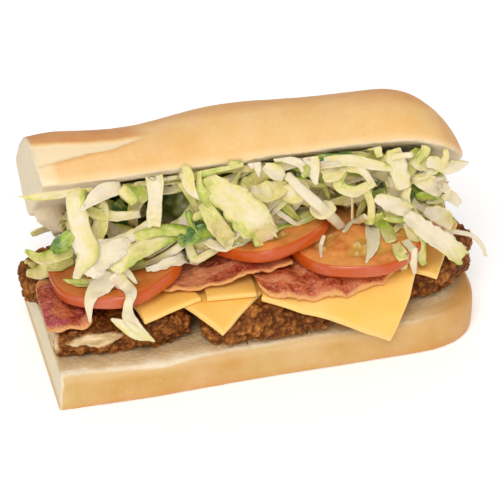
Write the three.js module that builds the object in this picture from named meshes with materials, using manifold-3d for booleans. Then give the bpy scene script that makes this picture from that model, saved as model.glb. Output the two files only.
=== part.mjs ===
// Half of a chicken club sub: a roll split in two, with breaded chicken, cheese, bacon, tomato and lettuce.
// Millimetres, +Z up. X runs along the roll, from the knife cut at -X to its rounded end at +X, and -Y is the
// open front. The origin is on the table under the middle of the sandwich.
import * as THREE from 'three';
import { mergeVertices } from 'three/addons/utils/BufferGeometryUtils.js';
import Module from 'manifold-3d';

const wasm = await Module();
wasm.setup();

// Driving sizes
const ROLL_LENGTH = 170;
const HEEL_WIDTH = 81;
const HEEL_HEIGHT = 16;
const HEEL_CUT_LEAN = 1.7;
const CROWN_LENGTH = 168;
const CROWN_WIDTH = 79;
const CROWN_HEIGHT = 25;
const CROWN_TILT = THREE.MathUtils.degToRad(38);
const CROWN_FRONT = { x: -1.3, y: -24, z: 86.7 };
const CROWN_CUT_SKEW = 3;
const CROWN_CUT_LEAN = 0.13;
const CROWN_END_LEAN = 0.21;
const CROWN_END_DROOP = 7;
const CUT_X = -ROLL_LENGTH / 2;
const BED_Z = 31;
const SHOULDER_Y = -29;
const SHOULDER_RADIUS = 12;
const CHEESE_THICKNESS = 2.2;
const BACON_THICKNESS = 1.5;
const TOMATO_RADIUS = 28;
const TOMATO_THICKNESS = 5.5;
const SHRED_THICKNESS = 1.1;
const GAP = 0.35;
const SHORTEST_EDGE = 0.15;
const FLAT_CORNER = 0.03;
const HEAP_FROM = -76;
const HEAP_TO = 74;
const HEAP_STATIONS = 14;
const HEAP_FRONT = -19.2;
const HEAP_BACK = 33;
const HEAP_HOLLOW = 20;
const HEAP_RECESS = 16;

// Layers of the filling, as heights above the chicken
const LOWER_CHEESE_LIFT = GAP;
const UPPER_CHEESE_LIFT = LOWER_CHEESE_LIFT + CHEESE_THICKNESS + GAP;
const BACON_LIFT = UPPER_CHEESE_LIFT + CHEESE_THICKNESS + GAP;

const group = new THREE.Group();
const { clamp, degToRad, smoothstep } = THREE.MathUtils;

const finishes = {
  crust: { color: 0xdfa862, roughness: 0.55 },
  breading: { color: 0x8a5327, roughness: 0.75 },
  cheese: { color: 0xf4b33f, roughness: 0.4 },
  bacon: { color: 0xb04a34, roughness: 0.45 },
  tomato: { color: 0xd5512b, roughness: 0.3 },
  lettuce: { color: 0xd3d98a, roughness: 0.45 },
};

function addMesh(name, geometry, finish) {
  const material = new THREE.MeshStandardMaterial({ ...finishes[finish], metalness: 0 });
  const mesh = new THREE.Mesh(geometry, material);
  mesh.name = name;
  group.add(mesh);
  return mesh;
}

function geometryFrom(points, faces) {
  const geometry = new THREE.BufferGeometry();
  geometry.setAttribute('position', new THREE.Float32BufferAttribute(points.flat(), 3));
  geometry.setIndex(faces.flat());
  geometry.computeVertexNormals();
  return geometry;
}

// A closed skin over rings of equal length, stacked from bottom to top. Strips of quads close both end rings.
function stackedRings(rings) {
  const count = rings[0].length;
  const points = rings.flat();
  const faces = [];
  for (let level = 0; level + 1 < rings.length; level++) {
    for (let i = 0; i < count; i++) {
      const next = (i + 1) % count;
      const low = level * count;
      const high = low + count;
      faces.push([low + i, low + next, high + next], [low + i, high + next, high + i]);
    }
  }
  const top = (rings.length - 1) * count;
  for (let i = 0; i + 1 < count / 2; i++) {
    const across = count - 1 - i;
    faces.push([top + i, top + i + 1, top + across - 1], [top + i, top + across - 1, top + across]);
    faces.push([i, across - 1, i + 1], [i, across, across - 1]);
  }
  return geometryFrom(points, faces.filter(([a, b, c]) => a !== b && b !== c && a !== c));
}

// Plan outline of a half roll, counterclockwise from the front of the knife cut, round the end, to its back
function rollOutline(length, width, { inset = 0, end = 38, squareness = 3, sides = 6, tips = 18 }) {
  const half = width / 2 - inset;
  const reach = end - inset;
  const endStart = length / 2 - end;
  const front = [];
  for (let i = 0; i < sides; i++) {
    front.push([-length / 2 + (endStart + length / 2) * i / sides, -half]);
  }
  for (let i = 0; i <= tips; i++) {
    const angle = Math.PI / 2 * i / (tips + 0.5);
    front.push([
      endStart + reach * Math.sin(angle) ** (2 / squareness),
      -half * Math.cos(angle) ** (2 / squareness),
    ]);
  }
  return [...front, ...front.map(([x, y]) => [x, -y]).reverse()];
}

// The wall of the bottom half, from the table up to its cut face: height, and inset from the widest outline
const HEEL_WALL = [
  { z: 0, inset: 0.8 },
  { z: 1, inset: 0.2 },
  { z: 4, inset: 0 },
  { z: 9, inset: 0 },
  { z: 13, inset: 0.3 },
  { z: 15, inset: 1.6 },
  { z: HEEL_HEIGHT, inset: 5 },
];
const HEEL_BULGE = { at: -52, spread: 22, depth: 1.1 };
const HEEL_LEAN_FROM = 55;

// A smooth bump of height 1 at a place along the roll
function bump(x, { at, spread }) {
  return Math.exp(-(((x - at) / spread) ** 2));
}

// Bottom half: flat base, bulging crust, a flat cut face of crumb and a knife cut that leans out at its foot
function heelGeometry() {
  const rings = HEEL_WALL.map(({ z, inset }) => {
    const lean = HEEL_CUT_LEAN * (1 - z / HEEL_HEIGHT);
    return rollOutline(ROLL_LENGTH, HEEL_WIDTH, { inset, sides: 9 }).map(([x, y]) => [
      x - lean * smoothstep(-x, HEEL_LEAN_FROM, -CUT_X),
      y < 0 ? y - HEEL_BULGE.depth * bump(x, HEEL_BULGE) : y,
      z,
    ]);
  });
  return stackedRings(rings);
}

// Where the crown's dome swells and dips along the roll, as shares of its full height
const CROWN_SWELLS = [
  { at: -50, spread: 22, share: -0.11 },
  { at: -9, spread: 23, share: 0.073 },
  { at: 78, spread: 18, share: 0.12 },
];
const CROWN_CUT_DROP = { from: 72, to: 86, share: 0.06 };
const CROWN_END_SLUMP = { from: 10, to: 85, share: 0.02 };
const CROWN_EVEN_HEIGHT = 0.97;

function crownSwell(x) {
  const cutDrop = CROWN_CUT_DROP.share * smoothstep(-x, CROWN_CUT_DROP.from, CROWN_CUT_DROP.to);
  const slump = CROWN_END_SLUMP.share * smoothstep(x, CROWN_END_SLUMP.from, CROWN_END_SLUMP.to);
  const swells = CROWN_SWELLS.reduce((sum, swell) => sum + swell.share * bump(x, swell), 0);
  return CROWN_EVEN_HEIGHT - cutDrop - slump + swells;
}

// From the crown's own frame (along the roll, back across its cut face, up from it) to the sandwich
const CROWN_SKEW_FROM = 20;
const CROWN_DROOP_SPAN = { from: 48, to: 88 };
const CROWN_LEAN_SPAN = { from: 45, to: 84 };

function crownPoint(x, across, height) {
  const nearCut = smoothstep(-x, CROWN_SKEW_FROM, CROWN_LENGTH / 2);
  const nearEnd = smoothstep(x, CROWN_LEAN_SPAN.from, CROWN_LEAN_SPAN.to);
  const cutSkew = (CROWN_CUT_SKEW * across / CROWN_WIDTH - CROWN_CUT_LEAN * height) * nearCut;
  const raised = height - CROWN_END_DROOP * smoothstep(x, CROWN_DROOP_SPAN.from, CROWN_DROOP_SPAN.to);
  return [
    CROWN_FRONT.x + x + cutSkew - CROWN_END_LEAN * height * nearEnd,
    CROWN_FRONT.y + across * Math.cos(CROWN_TILT) + raised * Math.sin(CROWN_TILT),
    CROWN_FRONT.z - across * Math.sin(CROWN_TILT) + raised * Math.cos(CROWN_TILT),
  ];
}

// Top half: a long dome over its own cut face, tipped open towards the front
const CROWN_LEVELS = 10;
const CROWN_PROFILE = { rise: 0.85, shrink: 0.5, soleInset: 0.8 };
const CROWN_PLAN = { end: 46, squareness: 2.4, sides: 9, tips: 14 };

function crownGeometry() {
  const rings = [];
  for (let level = 0; level <= CROWN_LEVELS; level++) {
    const angle = Math.PI / 2 * level / (CROWN_LEVELS + 0.4);
    const height = CROWN_HEIGHT * Math.sin(angle) ** CROWN_PROFILE.rise;
    const shrunk = CROWN_WIDTH / 2 * (1 - Math.cos(angle) ** CROWN_PROFILE.shrink);
    const inset = shrunk + (level === 0 ? CROWN_PROFILE.soleInset : 0);
    const outline = rollOutline(CROWN_LENGTH, CROWN_WIDTH, { inset, ...CROWN_PLAN });
    rings.push(outline.map(([x, y]) => crownPoint(x, y + CROWN_WIDTH / 2, height * crownSwell(x))));
  }
  return stackedRings(rings);
}

// Crumb that tore down from the crown's cut face, near the knife cut: sections from its tip up into the bread
const TORN_CRUMB = [
  { height: -9.5, x: -74, across: 66, alongHalf: 3, acrossHalf: 5 },
  { height: -4, x: -76, across: 66, alongHalf: 6.5, acrossHalf: 9 },
  { height: 3, x: -75, across: 66, alongHalf: 8.5, acrossHalf: 11 },
];
const TORN_CRUMB_SIDES = 10;

function tornCrumbGeometry() {
  const turns = Array.from({ length: TORN_CRUMB_SIDES }, (_, i) => 2 * Math.PI * i / TORN_CRUMB_SIDES);
  const rings = TORN_CRUMB.map(({ height, x, across, alongHalf, acrossHalf }) => turns.map((turn) =>
    crownPoint(x + alongHalf * Math.cos(turn), across + acrossHalf * Math.sin(turn), height)));
  return stackedRings(rings);
}

// The same slow lumps run over every piece of breaded chicken
const LUMPS = [
  { across: [0.31, 0.17, 0.5], start: 0, height: 0.5 },
  { across: [0.53, -0.41, 0.37], start: 1.3, height: 0.35 },
  { across: [0.83, 0.67, -0.71], start: 2.1, height: 0.25 },
];
const LUMP_HEIGHT = 1.5;

function lumps(...point) {
  const wave = ({ across, start }) => Math.sin(across.reduce((sum, turn, i) => sum + turn * point[i], start));
  return LUMPS.reduce((sum, lump) => sum + lump.height * wave(lump), 0);
}

// Height of the chicken's rounded front shoulder, on which the slices lie
function shoulderTop(y) {
  const reach = clamp(SHOULDER_Y - y, 0, SHOULDER_RADIUS);
  return BED_Z - SHOULDER_RADIUS + Math.sqrt(SHOULDER_RADIUS ** 2 - reach ** 2);
}

// A breaded tender: a boxy blob with crags, flattened by the bread below and the slices above
const TENDER = { rings: 13, segments: 24, endInset: 1.5, sideInset: 1.2, topSwell: 0.9 };
const TENDER_ROUNDING = { plan: 0.5, rise: 0.62 };
const TENDER_CLEARANCE = { top: 0.1, shoulder: 0.4 };

function tenderGeometry({ from, to, front, back, cutEnd = false, undercut = 0, squareness = 0.62 }) {
  const bottom = HEEL_HEIGHT + GAP;
  const top = BED_Z - TENDER_CLEARANCE.top;
  const middle = [(from + to) / 2, (front + back) / 2, (bottom + top) / 2];
  const reach = [
    (to - from) / 2 - TENDER.endInset,
    (back - front) / 2 - TENDER.sideInset,
    (top - bottom) / 2 + TENDER.topSwell,
  ];
  const boxy = (value, power) => Math.sign(value) * Math.abs(value) ** power;
  const place = (turn, rise) => {
    const flat = boxy(Math.cos(rise), TENDER_ROUNDING.plan);
    const direction = [
      boxy(Math.cos(turn), squareness) * flat,
      boxy(Math.sin(turn), squareness) * flat,
      boxy(Math.sin(rise), TENDER_ROUNDING.rise),
    ];
    const raw = direction.map((d, i) => middle[i] + d * reach[i]);
    const swell = LUMP_HEIGHT * lumps(...raw);
    const out = new THREE.Vector3(...direction).normalize();
    const x = raw[0] + out.x * swell;
    const y = raw[1] + out.y * swell + undercut * Math.max(0, -direction[1]) * (1 - direction[2]) / 2;
    const highest = Math.min(top, shoulderTop(y) - TENDER_CLEARANCE.shoulder);
    const z = clamp(raw[2] + out.z * swell, bottom, highest);
    return [cutEnd ? Math.max(x, CUT_X) : x, y, z];
  };
  const points = [place(0, -Math.PI / 2)];
  for (let ring = 1; ring < TENDER.rings; ring++) {
    for (let i = 0; i < TENDER.segments; i++) {
      const turn = 2 * Math.PI * i / TENDER.segments;
      const rise = Math.PI * (ring / TENDER.rings - 0.5);
      points.push(place(turn, rise));
    }
  }
  points.push(place(0, Math.PI / 2));
  return geometryFrom(points, ballFaces(TENDER.rings, TENDER.segments));
}

// Faces of a ball whose points run from its lowest, ring by ring, to its highest
function ballFaces(rings, segments) {
  const highest = 1 + (rings - 1) * segments;
  const faces = [];
  for (let i = 0; i < segments; i++) {
    const next = (i + 1) % segments;
    faces.push([0, 1 + next, 1 + i]);
    for (let ring = 0; ring < rings - 2; ring++) {
      const low = 1 + ring * segments;
      const high = low + segments;
      faces.push([low + i, low + next, high + next], [low + i, high + next, high + i]);
    }
    const last = highest - segments;
    faces.push([last + i, last + next, highest]);
  }
  return faces;
}

// A slice lies on the filling and rolls over its front shoulder: reach is how far in front of it a point lies
function drape(x, reach, lift, bend) {
  const radius = SHOULDER_RADIUS + lift;
  const angle = clamp(reach / radius, 0, bend);
  const rest = reach - radius * angle;
  return [
    x,
    SHOULDER_Y - radius * Math.sin(angle) - rest * Math.cos(angle),
    BED_Z + lift - radius * (1 - Math.cos(angle)) - rest * Math.sin(angle),
  ];
}

// A closed sheet: top(u, v) and bottom(u, v) over a grid, joined round the rim, with both faces split alike
const SHEET_SIDES = { cheese: [7, 7], bacon: [15, 5] };

function sheetGeometry(top, bottom, [columns, rows]) {
  const points = [];
  for (const face of [bottom, top]) {
    for (let row = 0; row <= rows; row++) {
      for (let column = 0; column <= columns; column++) {
        points.push(face(column / columns, row / rows));
      }
    }
  }
  const side = columns + 1;
  const upper = side * (rows + 1);
  const faces = [];
  for (let row = 0; row < rows; row++) {
    for (let column = 0; column < columns; column++) {
      const a = row * side + column;
      const [b, c, d] = [a + 1, a + side + 1, a + side];
      faces.push([a, c, b], [a, d, c]);
      faces.push([upper + a, upper + b, upper + c], [upper + a, upper + c, upper + d]);
    }
  }
  const rim = [];
  for (let column = 0; column < columns; column++) rim.push(column);
  for (let row = 0; row < rows; row++) rim.push(row * side + columns);
  for (let column = columns; column > 0; column--) rim.push(rows * side + column);
  for (let row = rows; row > 0; row--) rim.push(row * side);
  rim.forEach((a, i) => {
    const b = rim[(i + 1) % rim.length];
    faces.push([a, b, upper + b], [a, upper + b, upper + a]);
  });
  return geometryFrom(points, faces);
}

// A slice of cheese: one corner, its turn in plan, and how far its two edges run back from that corner
function cheeseGeometry({ corner, turn, left, right, lift, bend = 1.3 }) {
  const angle = degToRad(turn);
  const at = (u, v, height) => {
    const x = corner.x - left * u * Math.cos(angle) + right * v * Math.sin(angle);
    const reach = corner.reach - left * u * Math.sin(angle) - right * v * Math.cos(angle);
    return drape(x, reach, lift + height, bend);
  };
  return sheetGeometry((v, u) => at(u, v, CHEESE_THICKNESS), (v, u) => at(u, v, 0), SHEET_SIDES.cheese);
}

// A rasher: a rippled strip along the roll, with a front edge that bows out by bow and rounded ends
const RASHER_CLIMB = { from: 0.35, to: 0.65 };
const RASHER_END_WIDTH = 0.6;
const RASHER_WAVES = [
  { along: 0.45, across: 2, height: 0.7 },
  { along: 0.95, across: 5, height: 0.3 },
];

function baconGeometry({ from, to, reach, width, bow, lift, climb = 0, ripple = 0.7, bend = 1.2 }) {
  const rounded = (u, power) => Math.sqrt(Math.max(0, 1 - (2 * u - 1) ** power));
  const at = (u, v, height) => {
    const x = from + (to - from) * u;
    const widthHere = width * (RASHER_END_WIDTH + (1 - RASHER_END_WIDTH) * rounded(u, 4));
    const y = reach + bow * rounded(u, 2) - widthHere * v;
    const step = climb * smoothstep(u, RASHER_CLIMB.from, RASHER_CLIMB.to);
    const wave = RASHER_WAVES.reduce((sum, { along, across, height: tall }) =>
      sum + tall * Math.sin(x * along + v * across), 0);
    return drape(x, y, lift + step + ripple * (1 + wave) + height, bend);
  };
  return sheetGeometry((u, v) => at(u, v, BACON_THICKNESS), (u, v) => at(u, v, 0), SHEET_SIDES.bacon);
}

// A tomato slice: a disc with a rounded rim of skin. x and y are its middle and floor is the height there.
// Climb and pitch are its slopes along and across the roll, and grow makes it thicker and wider all round.
const RIM = { flat: 1.4, skin: 0.3, bevel: 1.1, sides: 24 };

function tomatoGeometry({ x, y, floor, climb, pitch, radius = TOMATO_RADIUS }, grow = 0) {
  const half = TOMATO_THICKNESS / 2 + grow;
  const rim = radius + grow;
  const upper = [[rim - RIM.skin, half - RIM.bevel], [rim - RIM.flat, half], [0, half]];
  const lower = upper.map(([r, z]) => [r, -z]).reverse();
  const profile = [...lower, [rim, 0], ...upper].map(([r, z]) => new THREE.Vector2(r, z));
  const geometry = new THREE.LatheGeometry(profile, RIM.sides);
  geometry.rotateX(Math.PI / 2);
  geometry.rotateY(-Math.atan(climb));
  geometry.rotateX(Math.atan(pitch));
  geometry.translate(x, y, floor + TOMATO_THICKNESS / 2);
  return closedGeometry(geometry);
}

// Position only, with shared vertices merged, folded triangles left out and the faces turned outwards
function closedGeometry(geometry) {
  const bare = new THREE.BufferGeometry();
  bare.setAttribute('position', geometry.getAttribute('position').clone());
  if (geometry.index) bare.setIndex(geometry.index.clone());
  const merged = mergeVertices(bare, 1e-4);
  const index = merged.index.array;
  const points = merged.getAttribute('position');
  const corner = [new THREE.Vector3(), new THREE.Vector3(), new THREE.Vector3()];
  const kept = [];
  let volume = 0;
  for (let i = 0; i < index.length; i += 3) {
    const face = [index[i], index[i + 1], index[i + 2]];
    if (new Set(face).size < 3) continue;
    kept.push(...face);
    face.forEach((vertex, n) => corner[n].fromBufferAttribute(points, vertex));
    volume += corner[0].dot(corner[1].cross(corner[2]));
  }
  merged.setIndex(volume < 0 ? kept.reverse() : kept);
  merged.computeVertexNormals();
  return merged;
}

// A closed mesh as a solid that can be joined and cut, and back
function solidOf(geometry) {
  const closed = closedGeometry(geometry);
  return new wasm.Manifold(new wasm.Mesh({
    numProp: 3,
    vertProperties: closed.getAttribute('position').array,
    triVerts: new Uint32Array(closed.index.array),
  }));
}

function geometryOf(solid) {
  const mesh = solid.getMesh();
  const geometry = new THREE.BufferGeometry();
  geometry.setAttribute('position', new THREE.BufferAttribute(new Float32Array(mesh.vertProperties), 3));
  geometry.setIndex(new THREE.BufferAttribute(new Uint32Array(mesh.triVerts), 1));
  geometry.computeVertexNormals();
  return geometry;
}

function largestPiece(solid) {
  return solid.decompose().reduce((best, piece) => (piece.volume() > best.volume() ? piece : best));
}

function pointsAndFaces(geometry) {
  const place = geometry.getAttribute('position');
  const index = geometry.index.array;
  const pointAt = (_, i) => new THREE.Vector3().fromBufferAttribute(place, i);
  const points = Array.from({ length: place.count }, pointAt);
  const faces = [];
  for (let i = 0; i < index.length; i += 3) faces.push([index[i], index[i + 1], index[i + 2]]);
  return { points, faces };
}

// The shortest edge under limit whose ends can become one with the skin left closed, or null
function shortestEdge(points, faces, limit) {
  const edges = faces.flatMap(([a, b, c]) => [[a, b], [b, c], [c, a]])
    .filter(([a, b]) => a < b && points[a].distanceTo(points[b]) < limit)
    .sort(([a, b], [c, d]) => points[a].distanceTo(points[b]) - points[c].distanceTo(points[d]));
  const around = (vertex) => new Set(faces.filter((face) => face.includes(vertex)).flat());
  const bothSides = 4;
  return edges.find(([a, b]) => {
    const near = around(b);
    return [...around(a)].filter((vertex) => near.has(vertex)).length === bothSides;
  }) ?? null;
}

// Joins the ends of every edge shorter than limit, so that cuts leave no splinters
function withoutShortEdges(geometry, limit) {
  const { points, faces } = pointsAndFaces(geometry);
  let kept = faces;
  for (let edge = shortestEdge(points, kept, limit); edge; edge = shortestEdge(points, kept, limit)) {
    const [a, b] = edge;
    points[a].lerp(points[b], 0.5);
    kept = kept.map((face) => face.map((vertex) => (vertex === b ? a : vertex)))
      .filter((face) => new Set(face).size === 3);
  }
  return withoutFlatCorners(points, kept);
}

function heightOf(points, [a, b, c]) {
  const sides = [[a, b], [b, c], [c, a]].map(([p, q]) => points[p].distanceTo(points[q]));
  const span = new THREE.Triangle(points[a], points[b], points[c]);
  return 2 * span.getArea() / Math.max(...sides);
}

// Turns the long edge of every triangle that is almost a line, where that makes both its triangles fuller
function withoutFlatCorners(points, faces) {
  const kept = faces.map((face) => [...face]);
  for (let i = 0; i < kept.length; i++) {
    if (heightOf(points, kept[i]) > FLAT_CORNER) continue;
    const turns = [0, 1, 2].map((n) => [kept[i][n], kept[i][(n + 1) % 3], kept[i][(n + 2) % 3]]);
    const [a, b, c] = turns.sort(([p, q], [r, t]) =>
      points[r].distanceTo(points[t]) - points[p].distanceTo(points[q]))[0];
    const other = kept.findIndex((face) => [0, 1, 2].some((n) => face[n] === b && face[(n + 1) % 3] === a));
    const d = kept[other].find((vertex) => vertex !== a && vertex !== b);
    const joined = kept.some((face) => face.includes(c) && face.includes(d));
    const flat = heightOf(points, kept[i]);
    const fuller = [[a, d, c], [d, b, c]].every((face) => heightOf(points, face) > flat);
    if (joined || !fuller) continue;
    kept[i] = [a, d, c];
    kept[other] = [d, b, c];
  }
  const geometry = geometryFrom(points.map((point) => point.toArray()), kept);
  return closedGeometry(geometry);
}

// Seeded numbers from 0 to 1
const SEQUENCE = { times: 1664525, plus: 1013904223, below: 4294967296 };

function seeded(seed) {
  let state = seed;
  return () => {
    state = (state * SEQUENCE.times + SEQUENCE.plus) % SEQUENCE.below;
    return state / SEQUENCE.below;
  };
}

// Height of the tomatoes' upper side along the sandwich, which carries the lettuce
const BEYOND_TOMATO_FALL = 0.8;

function tomatoTop(x) {
  return Math.max(...tomatoes.map(({ x: middle, floor, climb, radius = TOMATO_RADIUS }) => {
    const away = clamp(x - middle, -radius, radius);
    const beyond = Math.abs(x - middle - away);
    return floor + TOMATO_THICKNESS + climb * away - beyond * BEYOND_TOMATO_FALL;
  }));
}

// The heap's face is hollow near the knife cut, and its foot stands back where the tomatoes' tops show
const HOLLOW_SPAN = { from: -70, full: -60, fade: -44, to: -32 };
const RECESS_SPAN = { from: 0, full: 10, fade: 34, to: 46 };
const HEAP_TAPER = { least: 0.5, over: 12 };
const HEAP_LUMPS = { along: 2, outward: 1.2, upward: 0.9 };
const UNDER_CROWN = { brow: 3, roof: [18, 36, 54, 73], gap: -1.2 };

function within(x, { from, full, fade, to }) {
  return smoothstep(x, from, full) * (1 - smoothstep(x, fade, to));
}

// One section of the heap across the roll: up its face, back under the tipped crown and down to the chicken
function heapSection(x) {
  const front = HEAP_FRONT + HEAP_HOLLOW * within(x, HOLLOW_SPAN);
  const recess = HEAP_RECESS * within(x, RECESS_SPAN);
  const floor = tomatoTop(x) + 0.6;
  const underCrown = (across) => crownPoint(x, across, UNDER_CROWN.gap).slice(1);
  const brow = underCrown(UNDER_CROWN.brow);
  const third = (brow[1] - floor) / 3;
  const section = [
    [front - 3 + recess, floor],
    [front - 5 + recess / 2, floor + third],
    [(front + brow[0]) / 2, floor + 2 * third],
    brow,
    ...UNDER_CROWN.roof.map(underCrown),
    [HEAP_BACK, 33],
    [24, 33.5],
    [16, floor - 2],
    [(front + recess + 16) / 2, floor],
  ];
  const toEnd = Math.min(x - HEAP_FROM, HEAP_TO - x);
  const taper = Math.min(1, HEAP_TAPER.least + toEnd / HEAP_TAPER.over);
  const middle = floor + 12;
  return section.map(([y, z], i) => [
    x + HEAP_LUMPS.along * lumps(i * 9, x, 3),
    y * taper + HEAP_LUMPS.outward * lumps(x * 2, i * 7, 5),
    middle + (z - middle) * taper + HEAP_LUMPS.upward * lumps(x * 2, i * 11, 1),
  ]);
}

function heapGeometry() {
  const rings = [];
  for (let step = 0; step <= HEAP_STATIONS; step++) {
    rings.push(heapSection(HEAP_FROM + (HEAP_TO - HEAP_FROM) * step / HEAP_STATIONS));
  }
  return stackedRings(rings);
}

// A shred: a thin strip that bends from one point through another to a third, broad side to the front
const SHRED = { segments: 4, tip: 0.5, facing: [-0.25, -0.75, 0.6], wave: 0.12, waveTurn: 9 };
const SHRED_CORNERS = [[-1, -1], [1, -1], [1, 1], [-1, 1]];

function shredGeometry({ from, via, to, width, tip = SHRED.tip, facing = SHRED.facing }) {
  const bends = [from, via, to].map((point) => new THREE.Vector3(...point));
  const curve = new THREE.QuadraticBezierCurve3(...bends);
  const outward = new THREE.Vector3(...facing).normalize();
  const rings = [];
  for (let i = 0; i <= SHRED.segments; i++) {
    const t = i / SHRED.segments;
    const along = curve.getTangent(t);
    const side = new THREE.Vector3().crossVectors(along, outward).normalize();
    const normal = new THREE.Vector3().crossVectors(side, along).normalize();
    const half = width / 2 * (1 - (1 - tip) * t ** 3);
    const wave = SHRED.wave * width * Math.sin(t * SHRED.waveTurn + width);
    rings.push(SHRED_CORNERS.map(([a, b]) => curve.getPoint(t)
      .addScaledVector(side, a * half)
      .addScaledVector(normal, b * SHRED_THICKNESS / 2 + wave)
      .toArray()));
  }
  return stackedRings(rings);
}

// Shreds that stand out of the heap where the photo shows one, from root to tip
const standingShreds = [
  { from: [-66, -10, 74], via: [-71, -26, 76], to: [-72, -27, 55], width: 9 },
  { from: [-62, -14, 78], via: [-66, -23, 81], to: [-74, -24, 73], width: 9 },
  { from: [-60, -12, 76], via: [-76, -16, 79], to: [-94, -15, 81], width: 3 },
  { from: [-43, -12, 76], via: [-44, -23, 76], to: [-43, -17, 58], width: 7 },
  { from: [-34, -12, 76], via: [-29, -26, 80], to: [-27, -22, 70], width: 6 },
  { from: [-22, -12, 78], via: [-8, -26, 68], to: [2, -31, 54], width: 16 },
  { from: [-18, -12, 80], via: [-6, -26, 80], to: [-12, -26, 68], width: 8 },
  { from: [-62, -4, 56], via: [-80, -8, 54], to: [-91, -12, 45], width: 11 },
  { from: [-64, -2, 58], via: [-60, -27, 56], to: [-70, -38, 47], width: 8 },
  { from: [-50, -2, 60], via: [-60, -27, 56], to: [-56, -39, 48], width: 8 },
  { from: [-62, -22, 54], via: [-56, -46, 50], to: [-51, -46, 28], width: 7 },
  { from: [-66, -20, 52], via: [-70, -44, 51], to: [-66, -47, 41], width: 6, tip: 0.8 },
  { from: [-36, -6, 60], via: [-50, -20, 56], to: [-66, -30, 50], width: 7 },
  { from: [-12, -6, 60], via: [-26, -22, 54], to: [-42, -22, 50], width: 9 },
  { from: [-10, -10, 60], via: [-22, -30, 56], to: [-40, -30, 50], width: 7 },
  { from: [6, -12, 74], via: [14, -28, 68], to: [28, -26, 54], width: 5 },
  { from: [20, -12, 76], via: [34, -28, 74], to: [48, -24, 68], width: 7 },
  { from: [40, -8, 62], via: [46, -28, 64], to: [42, -28, 54], width: 6 },
  { from: [46, -10, 60], via: [56, -32, 58], to: [68, -42, 42], width: 8 },
  { from: [46, -10, 58], via: [50, -34, 56], to: [54, -46, 47], width: 7 },
  { from: [58, -8, 66], via: [66, -26, 68], to: [62, -28, 54], width: 7 },
  { from: [58, -10, 52], via: [82, -22, 50], to: [88, -20, 28], width: 2.5 },
  { from: [62, -4, 62], via: [74, -8, 62], to: [80, -10, 48], width: 6 },
];

// Smaller shreds spread by rule along the face of the heap and its back
const FACE_SHREDS = { count: 16, from: -66, apart: 9, depth: -6, out: -28, tipOut: -26 };
const BACK_SHREDS = {
  count: 12, from: -70, apart: 12, root: [28, 38], bend: [37, 37], facing: [0, 0.8, 0.6],
};

function scatteredShreds() {
  const random = seeded(7);
  const between = (low, high) => low + (high - low) * random();
  const shreds = [];
  for (let i = 0; i < FACE_SHREDS.count; i++) {
    const x = FACE_SHREDS.from + FACE_SHREDS.apart * i + between(-2, 2);
    const root = [x, FACE_SHREDS.depth, between(60, 70)];
    const bend = [x + between(-8, 8), FACE_SHREDS.out, root[2] + between(2, 8)];
    const end = [bend[0] + between(-8, 8), FACE_SHREDS.tipOut, root[2] - between(4, 12)];
    shreds.push({ from: root, via: bend, to: end, width: between(4, 7) });
  }
  for (let i = 0; i < BACK_SHREDS.count; i++) {
    const x = BACK_SHREDS.from + BACK_SHREDS.apart * i + between(-3, 3);
    const end = [x + between(-9, 9), between(38, 41), between(28, 36)];
    const [root, bend] = [[x, ...BACK_SHREDS.root], [x, ...BACK_SHREDS.bend]];
    shreds.push({ from: root, via: bend, to: end, width: between(4, 7), facing: BACK_SHREDS.facing });
  }
  return shreds;
}

const tomatoes = [
  { name: 'tomato_left', x: -58, y: -10.5, floor: 38.7, climb: 0.12, pitch: 0, radius: 25.5 },
  { name: 'tomato_middle', x: 2.5, y: -6.5, floor: 46.9, climb: 0.18, pitch: 0, radius: 25 },
  { name: 'tomato_right', x: 34, y: -16, floor: 42.9, climb: 0.06, pitch: 0.08 },
  { name: 'tomato_far_right', x: 54, y: 6, floor: 36.8, climb: 0, pitch: 0, radius: 24 },
];

addMesh('bread_bottom', heelGeometry(), 'crust');

addMesh('chicken_front_left', tenderGeometry({
  from: -90, to: -31.4, front: -38, back: -6, cutEnd: true, undercut: 5, squareness: 0.5,
}), 'breading');
addMesh('chicken_front_middle', tenderGeometry({
  from: -31.2, to: 24, front: -42, back: -6, squareness: 0.5,
}), 'breading');
addMesh('chicken_back', tenderGeometry({ from: -92, to: 24, front: -4.5, back: 34 }), 'breading');
addMesh('chicken_right', tenderGeometry({
  from: 26, to: 89, front: -31, back: 36, squareness: 1.05,
}), 'breading');

addMesh('cheese_lower_middle', cheeseGeometry({
  corner: { x: -24.8, reach: 16.6 }, turn: 50.7, left: 46, right: 40, lift: LOWER_CHEESE_LIFT, bend: 0.6,
}), 'cheese');
addMesh('cheese_far_right', cheeseGeometry({
  corner: { x: 62, reach: 7 }, turn: 31, left: 56, right: 39, lift: LOWER_CHEESE_LIFT,
}), 'cheese');
addMesh('cheese_upper_left', cheeseGeometry({
  corner: { x: -30, reach: 3 }, turn: -16, left: 24, right: 44, lift: UPPER_CHEESE_LIFT,
}), 'cheese');
addMesh('cheese_upper_middle', cheeseGeometry({
  corner: { x: -9, reach: 5 }, turn: 4, left: 19, right: 46, lift: UPPER_CHEESE_LIFT,
}), 'cheese');
addMesh('cheese_right', cheeseGeometry({
  corner: { x: 40.5, reach: 31.3 }, turn: 26.5, left: 54, right: 46, lift: UPPER_CHEESE_LIFT, bend: 1.47,
}), 'cheese');

addMesh('bacon_left', baconGeometry({
  from: -88, to: -71, reach: 2, width: 34, bow: 4, lift: GAP,
}), 'bacon');
addMesh('bacon_middle', baconGeometry({
  from: -43, to: 7, reach: -2, width: 30, bow: 2.5, lift: BACON_LIFT, climb: 3.3,
}), 'bacon');
addMesh('bacon_right', baconGeometry({
  from: -8, to: 46, reach: 3, width: 24, bow: 11, lift: BACON_LIFT,
}), 'bacon');

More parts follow.
